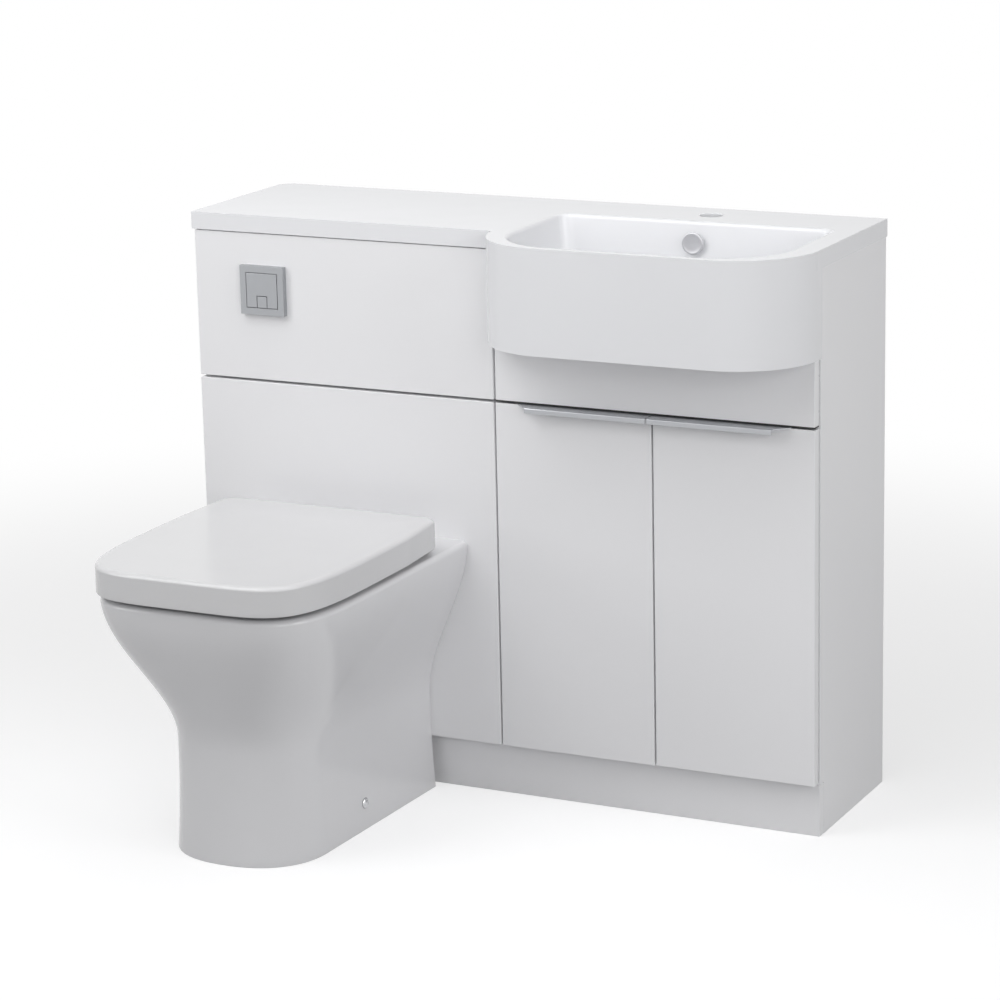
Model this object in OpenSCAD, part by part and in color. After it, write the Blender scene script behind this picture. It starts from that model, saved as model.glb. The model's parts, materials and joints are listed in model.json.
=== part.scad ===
// Toilet and basin combination unit: two 500 mm cabinets under one cast worktop.
// Working frame: X from the left end, Y from the front of the carcass towards the wall, Z up
// from the floor. place() moves it so that the origin is under the middle of the whole object.

/* [Cabinets] */
// Width of each of the two cabinets
unit_w = 500; // [480:10:560]
// Height of the worktop above the floor
worktop_h = 860; // [850:5:900]
// Depth of the carcass, front edge to wall
cab_depth = 262; // [260:1:300]
// Thickness of the carcass boards
board_t = 16; // [15:1:18]
// Thickness of doors and front panels
front_t = 16; // [15:1:18]
// Gap between the carcass and the back of a door or front panel
front_gap = 2; // [1.8:0.1:2.5]
// Height of the plinth board
plinth_h = 78; // [60:1:90]
// Gap between plinth and fronts
plinth_gap = 3; // [2:0.5:5]
// Distance of the dark split line between lower and upper fronts below the worktop
split_drop = 252; // [220:1:270]
// Width of the split line
split_gap = 4; // [4:0.5:8]
// Gap on each side of a front
front_margin = 1.5; // [1:0.25:2]
// Thickness of the back panel of the basin cabinet
back_t = 8; // [6:1:10]
// Height of the shelf above the floor
shelf_z = 330; // [250:1:400]
// Width of the hanging and stiffening rails
rail_w = 60; // [50:1:80]
// Diameter of the fixing holes in the wall rail
wall_hole_d = 7; // [6:0.5:8]
// Distance between the two wall fixing holes
wall_hole_pitch = 320; // [280:10:360]

/* [Worktop and basin] */
// Thickness of the worktop edge
slab_t = 26; // [22:1:32]
// Worktop overhang in front of the carcass
slab_front = 20; // [18.5:0.5:30]
// Worktop overhang at each end
side_over = 2; // [0:0.5:5]
// Thickness of the worktop where it is hollow underneath
slab_skin = 12; // [10:1:16]
// How far the basin stands out in front of the carcass
bowl_reach = 130; // [122:1:150]
// Height of the basin's front, from rim to underside
bowl_h = 154; // [140:1:170]
// Radius of the basin's front corners in plan
bowl_corner = 118; // [90:1:120]
// Width of the rim at the left and right of the bowl
rim_side = 36; // [34:1:50]
// Width of the rim at the front
rim_front = 15; // [13:1:24]
// Distance of the bowl's back edge behind the carcass front
bowl_back = 148; // [140:1:155]
// Slope of the bowl's inner walls in degrees
bowl_draft = 12; // [6:0.5:14]
// Thickness of the bowl's floor
bowl_floor = 18; // [14:1:24]
// Thickness of the bowl's back wall at the rim
bowl_wall = 17; // [14:1:20]
// Radius of the tap hole
tap_r = 17.5; // [16:0.5:18]
// Distance of the tap hole behind the carcass front
tap_y = 206; // [200:1:215]
// Distance of the waste behind the carcass front
waste_y = 60; // [56:1:64]
// Radius of the waste's threaded tail
tail_r = 20.95; // [18:0.05:21.5]
// Height of the overflow below the rim
overflow_drop = 30; // [26:1:40]

/* [Doors] */
// Largest opening angle of a door
door_swing = 95; // [80:1:95]
// Length of a handle along the door's top edge
handle_l = 212; // [120:1:230]
// Reach of a handle in front of the door
handle_reach = 22; // [14:1:30]
// Height of the handle's front lip
handle_lip = 8; // [6:0.5:14]
// Thickness of the handle's metal
handle_t = 1.5; // [1:0.1:1.8]
// Radius of a hinge cup
cup_r = 17.5; // [17:0.5:17.5]
// Distance of the hinges from the ends of the door
hinge_inset = 85; // [70:1:120]

/* [Flush plate] */
// Middle of the flush plate from the left end
plate_x = 120; // [90:1:200]
// Distance of the flush plate's middle below the worktop
plate_drop = 112; // [110:1:150]
// Side of the square flush plate
plate_w = 74; // [68:1:80]
// Thickness of the flush plate
plate_t = 9.5; // [7:0.5:10]
// Side of the square full-flush button
button_w = 52; // [48:1:54]
// Width of the half-flush button
half_w = 16; // [14:1:18]
// Height of the half-flush button
half_h = 17; // [15:1:18]
// Travel of the buttons
press = 4; // [3:0.5:4]

/* [Pan] */
// Distance of the pan's middle to the right of its cabinet's middle
pan_shift = 10; // [-5:1:14]
// Height of the rim
rim_z = 392; // [380:1:410]
// Reach of the rim in front of the carcass
pan_front = 510; // [480:1:540]
// Half the width of the rim
rim_half = 187; // [170:1:195]
// Half the width of the pan where it meets the cabinet, at the rim
rim_back_half = 191; // [175:1:200]
// Height where the pan starts to widen at the cabinet
waist_z = 150; // [120:1:180]
// Height where its front and sides start to widen
nose_z = 168; // [150:1:190]
// Reach of the narrowest part in front of the carcass
waist_front = 433; // [420:1:460]
// Half the width of the narrowest part at the cabinet
waist_half = 121; // [115:1:130]
// Half the width of the narrowest part where its sides end
nose_half = 110; // [104:1:118]
// How much the foot spreads
foot_spread = 6; // [0:1:10]
// Wall thickness of the ceramic
pan_wall = 12; // [10:1:14]
// Height of the middle of the soil outlet
outlet_z = 180; // [175:1:190]
// Outer radius of the soil outlet
outlet_r = 51; // [49:0.5:52]
// Height of the middle of the flush inlet
inlet_z = 340; // [335:1:345]
// Radius of the flush inlet hole
inlet_r = 27.5; // [26:0.5:29]

/* [Seat and lid] */
// Gap between rim and lid
lid_gap = 8; // [7:0.5:10]
// Height of the lid from lower edge to top
lid_h = 44; // [38:1:48]
// Reach of the lid in front of the carcass
lid_front = 520; // [516:1:545]
// Half the width of the lid at its middle
lid_half = 187; // [180:1:192]
// Half the width of the lid at its back
lid_back_half = 180; // [174:1:186]
// Distance of the lid's back edge in front of the carcass
lid_back = 84; // [80:1:90]
// Thickness of the lid's skirt
lid_wall = 5; // [4:0.5:7]
// Thickness of the lid's top
lid_top = 8; // [6:0.5:10]
// Thickness of the seat ring
seat_t = 20; // [16:1:20]
// Height of the rubber buffers under the seat
buffer_h = 5; // [4:0.5:6]
// Distance of the hinge axis in front of the carcass
hinge_y = 98; // [96:1:104]
// Height of the hinge axis above the rim
hinge_up = 20; // [20:0.5:22]
// Spacing of the two seat hinges
hinge_pitch = 156; // [140:1:170]

/* [Cistern] */
// Width of the tank
tank_w = 360; // [330:5:380]
// Height of the tank's floor above the flush inlet
tank_lift = 140; // [130:5:200]
// Wall thickness of the tank
tank_wall = 4; // [3:0.5:5]
// Distance of the tank's front behind the carcass front
tank_y0 = 100; // [90:1:110]
// Distance of the tank's top below the worktop
tank_drop = 100; // [94:1:120]
// Radius of the half-inch inlet thread
inlet_thread_r = 10.48; // [10:0.01:10.6]
// Radius of the flush pipe
pipe_r = 22; // [20:0.5:22]
// Lift of the flush valve
valve_lift = 16; // [12:1:20]
// Travel of the float
float_travel = 100; // [80:1:120]

/* [Hidden] */

$fn = 64;
eps = 0.01;          // overlap of a cutting tool past the face it cuts
seat_gap = 0.3;      // gap between curved faces that only rest near each other
run_gap = 0.06;      // radial clearance of sliding shafts

// Colours of the finished object
white_gloss = [0.93, 0.93, 0.94];
white_cast = [0.95, 0.95, 0.96];
white_ceramic = [0.94, 0.94, 0.95];
satin_chrome = [0.66, 0.67, 0.69];
bright_chrome = [0.78, 0.79, 0.80];
grey_plastic = [0.55, 0.56, 0.58];
dark_rubber = [0.15, 0.15, 0.16];
zinc = [0.70, 0.71, 0.72];
buffer_grey = [0.75, 0.75, 0.76];

// Overall sizes
total_w = 2 * unit_w;
split_z = worktop_h - split_drop;          // middle of the split line
plate_z = worktop_h - plate_drop;          // middle of the flush plate
pan_x = unit_w / 2 + pan_shift;            // middle of the pan
under_z = worktop_h - slab_t;              // underside of the worktop's edge
face_y = -(front_gap + front_t);           // plane of all doors and front panels
back_face_y = -front_gap;                  // back of the doors and front panels
front_z0 = plinth_h + plinth_gap;          // lower edge of the lower fronts
lower_top = split_z - split_gap / 2;       // upper edge of the lower fronts
upper_z0 = split_z + split_gap / 2;        // lower edge of the upper fronts
bowl_z = worktop_h - bowl_h;               // underside of the basin
floor_z = bowl_z + bowl_floor;             // inside floor of the bowl
basin_x = 1.5 * unit_w;                    // middle of the basin cabinet
basin_in0 = unit_w + board_t;              // inner faces of the basin cabinet
basin_in1 = total_w - board_t;

// Puts the finished parts in the object's own frame
module place() {
  translate([-unit_w, (lid_front - cab_depth) / 2, 0]) children();
}

// A box given by its two corners
module block(a, b) {
  translate(a) cube(b - a);
}

// Cylinder along Y from y0 to y1
module bar_y(x, z, r, y0, y1) {
  translate([x, y0, z]) rotate([-90, 0, 0]) cylinder(h = y1 - y0, r = r);
}

// Cylinder along X from x0 to x1
module bar_x(y, z, r, x0, x1) {
  translate([x0, y, z]) rotate([0, 90, 0]) cylinder(h = x1 - x0, r = r);
}

// Cylinder along Z from z0 to z1
module bar_z(x, y, r, z0, z1) {
  translate([x, y, z0]) cylinder(h = z1 - z0, r = r);
}

// Tube along Z
module tube_z(x, y, r_out, r_in, z0, z1) {
  difference() {
    bar_z(x, y, r_out, z0, z1);
    bar_z(x, y, r_in, z0 - eps, z1 + eps);
  }
}

// Closed body through a list of equal rings, given from the bottom up, anticlockwise from above
module loft(rings) {
  count = len(rings[0]);
  last = (len(rings) - 1) * count;
  sides = [for (i = [0:len(rings) - 2], j = [0:count - 1])
    let (a = i * count + j, b = i * count + (j + 1) % count)
      each [[a, a + count, b + count], [a, b + count, b]]];
  bottom = [for (j = [0:count - 1]) j];
  top = [for (j = [count - 1:-1:0]) last + j];
  polyhedron(points = [for (ring = rings) each ring], faces = concat([bottom], sides, [top]));
}

function smooth(u) = let (c = min(1, max(0, u))) c * c * (3 - 2 * c);
function mix(a, b, t) = a + (b - a) * t;
function unit(v) = v / norm(v);

// Ring round a point of a path, square to the direction t
function path_ring(p, t, r, sides, ref) =
  let (n = unit(cross(t, ref)), b = cross(t, n))
    [for (k = [0:sides - 1]) p + r * (cos(360 * k / sides) * n + sin(360 * k / sides) * b)];

// Smooth curve through a few points, with steps places on each stretch
function curve_at(a, b, c, d, t) = 0.5 * (2 * b + (c - a) * t
  + (2 * a - 5 * b + 4 * c - d) * t * t + (3 * b - a - 3 * c + d) * t * t * t);
function curve(pts, steps) =
  let (last = len(pts) - 1)
    [for (i = [0:last - 1], s = [0:steps - 1])
      curve_at(pts[max(0, i - 1)], pts[i], pts[i + 1], pts[min(last, i + 2)], s / steps),
      pts[last]];

// Round bar swept along a path
module sweep(path, r, sides, ref) {
  last = len(path) - 1;
  loft([for (i = [0:last])
    path_ring(path[i], unit(path[min(last, i + 1)] - path[max(0, i - 1)]), r, sides, ref)]);
}

// ---------------------------------------------------------------- worktop and basin

// Plan of the basin where it stands out in front of the carcass
module bowl_front_plan() {
  x0 = unit_w + front_margin + 1;
  x1 = total_w + side_over / 2;
  intersection() {
    translate([x0, -bowl_reach]) square([x1 - x0, bowl_reach]);
    union() {
      translate([x0 + bowl_corner, -bowl_reach]) square([x1 - x0 - 2 * bowl_corner, bowl_reach]);
      translate([x0, bowl_corner - bowl_reach]) square([x1 - x0, bowl_reach]);
      for (x = [x0 + bowl_corner, x1 - bowl_corner])
        translate([x, bowl_corner - bowl_reach]) circle(r = bowl_corner, $fn = 128);
    }
  }
}

bowl_x0 = unit_w + rim_side;
bowl_x1 = total_w - rim_side;
bowl_y0 = rim_front - bowl_reach;
inner_corner = bowl_corner - rim_front - 3;  // front corners of the opening
inner_back_corner = 16;                      // back corners of the opening
bowl_fillet = 28;                            // between the bowl's walls and its floor

// Ring of the bowl's opening, drawn in by inset
function bowl_ring(z, inset) =
  let (x0 = bowl_x0 + inset, x1 = bowl_x1 - inset, y0 = bowl_y0 + inset, y1 = bowl_back - inset,
       rf = max(30, inner_corner - inset), rb = inner_back_corner + inset / 3)
    [for (c = [[x0 + rf, y0 + rf, rf, 180, 10], [x1 - rf, y0 + rf, rf, 270, 10],
               [x1 - rb, y1 - rb, rb, 0, 5], [x0 + rb, y1 - rb, rb, 90, 5]], i = [0:c[4]])
      [c[0] + c[2] * cos(c[3] + 90 * i / c[4]), c[1] + c[2] * sin(c[3] + 90 * i / c[4]), z]];

function bowl_inset(z) = (worktop_h - z) * tan(bowl_draft);

// Inside of the bowl
module bowl_cavity() {
  start = floor_z + bowl_fillet;
  loft(concat(
    [for (k = [0:6])
      let (a = 90 * k / 6, z = start - bowl_fillet * cos(a))
        bowl_ring(z, bowl_inset(start) + bowl_fillet * (1 - sin(a)))],
    [for (k = [1:3]) let (z = mix(start, worktop_h, k / 3)) bowl_ring(z, bowl_inset(z))],
    [bowl_ring(worktop_h + 1, 0)]));
}

cover_z = worktop_h - overflow_drop;
overflow_z = cover_z - 7;                  // bore, below the middle of its cover
overflow_wall_y = bowl_back - bowl_inset(cover_z);
overflow_hole_r = 7;
neck_r = tail_r + 0.4;                     // neck of the waste, which its nut slides over
waste_hole_r = neck_r + 1.6;
body_back_y = bowl_back + bowl_wall;       // back of the bowl inside the cabinet
corner_r = 25;                             // worktop corner at the wall, left end
angle_w = 30;                              // steel angles under the worktop
angle_t = 2;

module worktop_basin() {
  color(white_cast) difference() {
    union() {
      block([-side_over + corner_r, -slab_front, under_z],
            [total_w + side_over, cab_depth, worktop_h]);
      block([-side_over, -slab_front, under_z],
            [-side_over + corner_r, cab_depth - corner_r, worktop_h]);
      bar_z(corner_r - side_over, cab_depth - corner_r, corner_r, under_z, worktop_h);
      translate([0, 0, bowl_z]) linear_extrude(bowl_h) bowl_front_plan();
      block([basin_in0 + 2, -1, bowl_z], [basin_in1 - 2, body_back_y, worktop_h - 1]);
    }
    bowl_cavity();
    // hollow underside over the toilet cabinet
    block([board_t + angle_w + 2, board_t + 2, under_z - 1],
          [unit_w - board_t - angle_w - 2, cab_depth - board_t - 2, worktop_h - slab_skin]);
    bar_z(basin_x, tap_y, tap_r, under_z - 1, worktop_h + 1);
    bar_z(basin_x, waste_y, waste_hole_r, bowl_z - 1, floor_z + 1);
    bar_y(basin_x, overflow_z, overflow_hole_r, overflow_wall_y - 12, body_back_y + 1);
  }
}

cover_r = 16.5;      // overflow cover
cover_t = 6;
stub_r = overflow_hole_r - 0.2;
elbow_r = 9.5;
elbow_y = body_back_y + 20;                // axis of the falling part of the overflow
hose_r = 9;
hose_bend = 26;

module overflow_cover() {
  seat_y = overflow_wall_y - cover_r * tan(bowl_draft) - seat_gap;
  color(bright_chrome) {
    bar_y(basin_x, cover_z, cover_r, seat_y - cover_t, seat_y);
    difference() {
      bar_y(basin_x, overflow_z, stub_r, seat_y - eps, body_back_y - 2);
      bar_y(basin_x, overflow_z, stub_r - 2, seat_y + 1, body_back_y);
    }
  }
}

seal_t = 6;          // rubber seal under the basin
collar_h = 26;       // collar that takes the overflow hose
nut_h = 12;
collar_top = bowl_z - seal_t;
collar_z0 = collar_top - collar_h;
nut_z0 = collar_z0 - nut_h;
hose_z = collar_top - collar_h / 2;        // height of the hose's level stretch
collar_r = 30;
spout_l = 12;
hose_y0 = waste_y + collar_r + spout_l;

module overflow_elbow() {
  color(grey_plastic) difference() {
    union() {
      block([basin_x - 22, body_back_y, overflow_z - 16],
            [basin_x + 22, body_back_y + 4, overflow_z + elbow_r]);
      bar_y(basin_x, overflow_z, elbow_r, body_back_y, elbow_y + elbow_r);
      bar_z(basin_x, elbow_y, elbow_r, overflow_z - 22, overflow_z);
    }
    bar_y(basin_x, overflow_z, stub_r - 0.5, body_back_y - 1, elbow_y);
    bar_z(basin_x, elbow_y, hose_r - 1.5, overflow_z - 23, overflow_z);
  }
}

module overflow_hose() {
  top = overflow_z - 22;
  color([0.85, 0.85, 0.86]) {
    tube_z(basin_x, elbow_y, hose_r, hose_r - 1.5, hose_z + hose_bend, top);
    translate([basin_x, elbow_y - hose_bend, hose_z + hose_bend])
      rotate([90, 0, 90]) rotate([0, 0, -90]) rotate_extrude(angle = 90) difference() {
        translate([hose_bend, 0]) circle(r = hose_r);
        translate([hose_bend, 0]) circle(r = hose_r - 1.5);
      }
    difference() {
      bar_y(basin_x, hose_z, hose_r, hose_y0, elbow_y - hose_bend);
      bar_y(basin_x, hose_z, hose_r - 1.5, hose_y0 - eps, elbow_y - hose_bend + eps);
    }
  }
}

flange_t = 3;
flange_r = 32;
tail_z0 = nut_z0 - 44;                     // lower end of the waste's tail
stem_r = 3;
hub_z = collar_z0 - 4;

module waste_body() {
  color(bright_chrome) difference() {
    union() {
      bar_z(basin_x, waste_y, flange_r, floor_z + 1, floor_z + 1 + flange_t);
      bar_z(basin_x, waste_y, neck_r, nut_z0, floor_z + 1 + flange_t - eps);
      bar_z(basin_x, waste_y, tail_r, tail_z0, nut_z0 + eps);
    }
    difference() {
      bar_z(basin_x, waste_y, tail_r - 3, tail_z0 - 1, floor_z + 5);
      // cross with the hub that guides the plug's stem
      difference() {
        union() {
          block([basin_x - tail_r, waste_y - 1.5, hub_z - 8], [basin_x + tail_r, waste_y + 1.5, hub_z]);
          block([basin_x - 1.5, waste_y - tail_r, hub_z - 8], [basin_x + 1.5, waste_y + tail_r, hub_z]);
          bar_z(basin_x, waste_y, stem_r + 3, hub_z - 8, hub_z);
        }
        bar_z(basin_x, waste_y, stem_r + run_gap, hub_z - 9, hub_z + 1);
      }
    }
    // windows that let the overflow in
    block([basin_x - 6, waste_y - neck_r - 1, hose_z - 6], [basin_x + 6, waste_y + neck_r + 1, hose_z + 6]);
  }
}

module waste_seals() {
  color(dark_rubber) {
    tube_z(basin_x, waste_y, flange_r - 2, waste_hole_r + 0.5, floor_z, floor_z + 1);
    tube_z(basin_x, waste_y, flange_r, neck_r + seat_gap, collar_top, bowl_z);
  }
}

module overflow_collar() {
  color(grey_plastic) difference() {
    union() {
      bar_z(basin_x, waste_y, collar_r, collar_z0, collar_top);
      bar_y(basin_x, hose_z, hose_r + 1, waste_y, hose_y0);
    }
    bar_z(basin_x, waste_y, neck_r + seat_gap, collar_z0 - 1, collar_top + 1);
    bar_z(basin_x, waste_y, neck_r + 4, collar_z0 + 4, collar_top - 4);
    bar_y(basin_x, hose_z, hose_r - 1.5, waste_y, hose_y0 + 1);
  }
}

module waste_backnut() {
  color(bright_chrome) difference() {
    translate([basin_x, waste_y, nut_z0]) cylinder(h = nut_h, r = 33, $fn = 6);
    bar_z(basin_x, waste_y, neck_r + 0.05, nut_z0 - 1, collar_z0 + 1);
  }
}

plug_r = 29;
plug_lift = 9;

module waste_plug() {
  z0 = floor_z + 1 + flange_t + seat_gap;
  color(bright_chrome) {
    translate([basin_x, waste_y, z0]) rotate_extrude()
      polygon([[0, 0], [plug_r - 1, 0], [plug_r, 1], [plug_r, 3], [plug_r - 2, 5],
               [plug_r - 9, 6.2], [plug_r - 18, 6.8], [0, 7]]);
    bar_z(basin_x, waste_y, stem_r, hub_z - 18, z0 + eps);
  }
}

// ---------------------------------------------------------------- carcass

clip_r = 4;          // stud of a panel clip
clip_l = 10;
wc_clip_zs = [front_z0 + 50, lower_top - 46, upper_z0 + 30, under_z - 34];
basin_clip_zs = [upper_z0 + 20, bowl_z - 25];

// Side board with the notch that takes the plinth
module side_board(x0, clip_zs) {
  difference() {
    block([x0, 0, 0], [x0 + board_t, cab_depth, under_z]);
    block([x0 - 1, -1, -1], [x0 + board_t + 1, board_t, plinth_h + 1]);
    for (z = clip_zs) bar_y(x0 + board_t / 2, z, clip_r, -1, clip_l);
  }
}

// Side board of the basin cabinet, with bores for the shelf pins in its inner face
module basin_side(x0, face_x, way) {
  difference() {
    side_board(x0, basin_clip_zs);
    for (y = shelf_pin_ys) bar_x(y, shelf_z - pin_r, pin_r, face_x - (way > 0 ? pin_l : 1),
                                 face_x + (way > 0 ? 1 : pin_l));
  }
}

pin_r = 2.5;         // shelf pins
pin_l = 8;
shelf_pin_ys = [50, cab_depth - 60];

module wc_side_left() { color(white_gloss) side_board(0, wc_clip_zs); }
module wc_side_right() { color(white_gloss) side_board(unit_w - board_t, wc_clip_zs); }
module basin_side_left() { color(white_gloss) basin_side(unit_w, basin_in0, 1); }
module basin_side_right() { color(white_gloss) basin_side(total_w - board_t, basin_in1, -1); }

rail_top_h = 40;
wall_rail_h = 100;
wall_hole_drop = 34; // wall fixing holes below the worktop
barrel_r = 20;       // threaded barrel of the flush plate
barrel_l = 34;

// Rails behind the front panels of the toilet cabinet, and the rail that is screwed to the wall
module wc_rails() {
  x0 = board_t;
  x1 = unit_w - board_t;
  color(white_gloss) {
    difference() {
      block([x0, cab_depth - board_t, under_z - wall_rail_h], [x1, cab_depth, under_z]);
      for (s = [-1, 1])
        bar_y(unit_w / 2 + s * wall_hole_pitch / 2, under_z - wall_hole_drop, wall_hole_d / 2,
              cab_depth - board_t - 1, cab_depth + 1);
    }
    block([x0, 0, under_z - rail_top_h], [x1, board_t, under_z]);
    block([x0, 0, split_z - board_t / 2], [x1, rail_w, split_z + board_t / 2]);
    block([x0, 0, plinth_h + 2], [x1, rail_w, plinth_h + 2 + board_t]);
  }
}

panel_hole_r = barrel_r + 1;
outlet_hole_r = outlet_r + 9;
inlet_hole_r = pipe_r + 13;

module wc_upper_panel() {
  color(white_gloss) difference() {
    block([front_margin, face_y, upper_z0], [unit_w - front_margin, back_face_y, under_z - 1.5]);
    bar_y(plate_x, plate_z, panel_hole_r, face_y - 1, back_face_y + 1);
  }
}

module wc_lower_panel() {
  color(white_gloss) difference() {
    block([front_margin, face_y, front_z0], [unit_w - front_margin, back_face_y, lower_top]);
    bar_y(pan_x, outlet_z, outlet_hole_r, face_y - 1, back_face_y + 1);
    bar_y(pan_x, inlet_z, inlet_hole_r, face_y - 1, back_face_y + 1);
  }
}

module basin_upper_panel() {
  color(white_gloss)
    block([unit_w + front_margin, face_y, upper_z0], [total_w - front_margin, back_face_y, bowl_z - 1]);
}

// Clips between the front panels and the side boards
module panel_clips() {
  color(grey_plastic) {
    for (x = [board_t / 2, unit_w - board_t / 2], z = wc_clip_zs) clip(x, z);
    for (x = [unit_w + board_t / 2, total_w - board_t / 2], z = basin_clip_zs) clip(x, z);
  }
}

module clip(x, z) {
  bar_y(x, z, board_t / 2 - 2, back_face_y, 0);
  bar_y(x, z, clip_r - 0.1, -eps, clip_l - 1);
}

module plinth() {
  color(white_gloss) block([0, 0, 0], [total_w, board_t, plinth_h]);
}

block_w = 18;

// Corner blocks that hold the plinth to the side boards
module plinth_blocks() {
  color(grey_plastic) for (x = [board_t, unit_w - board_t - block_w, basin_in0, basin_in1 - block_w])
    block([x, board_t, 8], [x + block_w, board_t + block_w, plinth_h - 10]);
}

floor_top = plinth_h + 2 + board_t;

module basin_floor() {
  color(white_gloss)
    block([basin_in0, 0, plinth_h + 2], [basin_in1, cab_depth - board_t, floor_top]);
}

service_w = 240;
service_z0 = 380;
service_h = 230;

// Back of the basin cabinet, with the cut-out for supply and waste pipes
module basin_back() {
  y0 = cab_depth - board_t;
  color(white_gloss) difference() {
    block([basin_in0, y0, plinth_h + 2], [basin_in1, y0 + back_t, under_z]);
    block([basin_x - service_w / 2, y0 - 1, service_z0],
          [basin_x + service_w / 2, y0 + back_t + 1, service_z0 + service_h]);
  }
}

stop_h = 44;         // how far the front rail reaches behind the doors

module basin_rails() {
  color(white_gloss) {
    block([basin_in0, 0, lower_top - stop_h], [basin_in1, board_t, bowl_z - 6]);
    block([basin_in0, cab_depth - 2 * board_t, under_z - rail_w], [basin_in1, cab_depth - board_t, under_z]);
  }
}

module shelf() {
  color(white_gloss)
    block([basin_in0 + 1, 30, shelf_z], [basin_in1 - 1, cab_depth - board_t - 2, shelf_z + board_t]);
}

module shelf_pins() {
  color(zinc) for (y = shelf_pin_ys) {
    bar_x(y, shelf_z - pin_r, pin_r - 0.05, basin_in0 - pin_l + 0.5, basin_in0 + 8);
    bar_x(y, shelf_z - pin_r, pin_r - 0.05, basin_in1 - 8, basin_in1 + pin_l - 0.5);
  }
}

module angle(x, way, y) {
  block([x - (way > 0 ? 0 : angle_t), y, under_z - angle_w],
        [x + (way > 0 ? angle_t : 0), y + angle_w, under_z]);
  block([x - (way > 0 ? 0 : angle_w), y, under_z - angle_t],
        [x + (way > 0 ? angle_w : 0), y + angle_w, under_z]);
}

module worktop_brackets() {
  color(zinc) {
    for (y = [board_t + 14, cab_depth - board_t - angle_w - 4]) {
      angle(board_t, 1, y);
      angle(unit_w - board_t, -1, y);
    }
    angle(basin_in0, 1, body_back_y + 6);
    angle(basin_in1, -1, body_back_y + 6);
  }
}

// ---------------------------------------------------------------- doors

door_x0 = unit_w + front_margin;
door_x1 = total_w - front_margin;
door_mid_gap = 2.5;
door_w = (door_x1 - door_x0 - door_mid_gap) / 2;
cup_in = 21.5;       // hinge cup centre from the door's edge
cup_depth = 12.5;
hinge_zs = [front_z0 + hinge_inset, lower_top - hinge_inset];

// Mirrors a left-hand piece into its right-hand partner
module mirror_door() {
  translate([2 * basin_x, 0, 0]) mirror([1, 0, 0]) children();
}

module door() {
  color(white_gloss) difference() {
    block([door_x0, face_y, front_z0], [door_x0 + door_w, back_face_y, lower_top]);
    for (z = hinge_zs) bar_y(door_x0 + cup_in, z, cup_r, back_face_y - cup_depth, back_face_y + 1);
  }
}

cup_plate_t = 1.2;

module hinge_cups() {
  x = door_x0 + cup_in;
  color(zinc) for (z = hinge_zs) difference() {
    union() {
      bar_y(x, z, cup_r - 0.1, back_face_y - cup_depth + 0.4, back_face_y);
      intersection() {
        union() {
          bar_y(x, z, cup_r + 2, back_face_y, back_face_y + cup_plate_t);
          block([x - 6, back_face_y, z - 30], [x + 8, back_face_y + cup_plate_t, z + 30]);
        }
        block([x - cup_in + 1, -5, z - 40], [x + 30, 5, z + 40]);
      }
    }
    bar_y(x, z, cup_r - 1.3, back_face_y - cup_depth + 1.6, back_face_y + 2);
  }
}

plate_thick = 2.5;
arm_x0 = basin_in0 + plate_thick;          // hinge arm, seen from above
arm_w = 14;
arm_half = 7;                              // half the height of the arm
arm_y0 = 26;                               // mounting plate behind the arm
arm_y1 = 60;                               // end of the arm

// Arm and mounting plate of the hinges, on the side boards
module hinge_arms_left() {
  for (z = hinge_zs) {
    block([basin_in0, arm_y0, z - arm_y0], [basin_in0 + plate_thick, arm_y1 + 6, z + arm_y0]);
    block([basin_in0, 0.5, z - arm_half - 1], [basin_in0 + plate_thick, arm_y0 + eps, z + arm_half + 1]);
    difference() {
      block([arm_x0, back_face_y - 8, z - arm_half], [arm_x0 + arm_w, arm_y1, z + arm_half]);
      block([arm_x0 + 3, back_face_y - 6, z - arm_half + 2],
            [arm_x0 + arm_w - 3, arm_y1 + 1, z + arm_half - 2]);
    }
  }
}

module hinge_arms() {
  color(zinc) {
    hinge_arms_left();
    mirror_door() hinge_arms_left();
  }
}

leg_h = 26;          // handle's screw leg behind the door
leg_t = 1.2;

// Folded metal pull over the top edge of a door
module handle() {
  x1 = door_x0 + door_w;
  x0 = x1 - handle_l;
  lip_y = face_y - handle_reach;
  color(satin_chrome) {
    linear_extrude_at(lower_top, handle_t)
      polygon([[x0, back_face_y + leg_t], [x1, back_face_y + leg_t], [x1, lip_y], [x0 + handle_reach, lip_y],
               [x0, face_y]]);
    block([x0, back_face_y, lower_top - leg_h], [x1, back_face_y + leg_t, lower_top + eps]);
    block([x0 + handle_reach, lip_y, lower_top + handle_t - handle_lip],
          [x1, lip_y + handle_t, lower_top + eps]);
  }
}

module linear_extrude_at(z, h) {
  translate([0, 0, z]) linear_extrude(h) children();
}

module door_buffers() {
  x = door_x0 + door_w - 14;
  color([0.8, 0.8, 0.8]) for (z = [plinth_h + 2 + board_t / 2, lower_top - leg_h - 8])
    bar_y(x, z, 4, back_face_y, -seat_gap);
}

module left_door() { door(); }
module right_door() { mirror_door() door(); }
module left_handle() { handle(); }
module right_handle() { mirror_door() handle(); }
module left_hinge_cups() { hinge_cups(); }
module right_hinge_cups() { mirror_door() hinge_cups(); }
module left_buffers() { door_buffers(); }
module right_buffers() { mirror_door() door_buffers(); }

// ---------------------------------------------------------------- flush plate

plate_front = face_y - plate_t;
button_gap = 0.9;    // gap round each button
well_w = button_w + 2 * button_gap;
well_back = face_y - 1.2;                  // floor of the well behind the buttons
button_t = 2.6;
button_front = plate_front - 0.5;
half_x0 = plate_x - half_w / 2;
button_z0 = plate_z - button_w / 2;
full_stem_z = plate_z + 8;
half_stem_z = button_z0 + half_h - 4;
full_stem_r = 4;
half_stem_r = 2.5;

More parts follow.
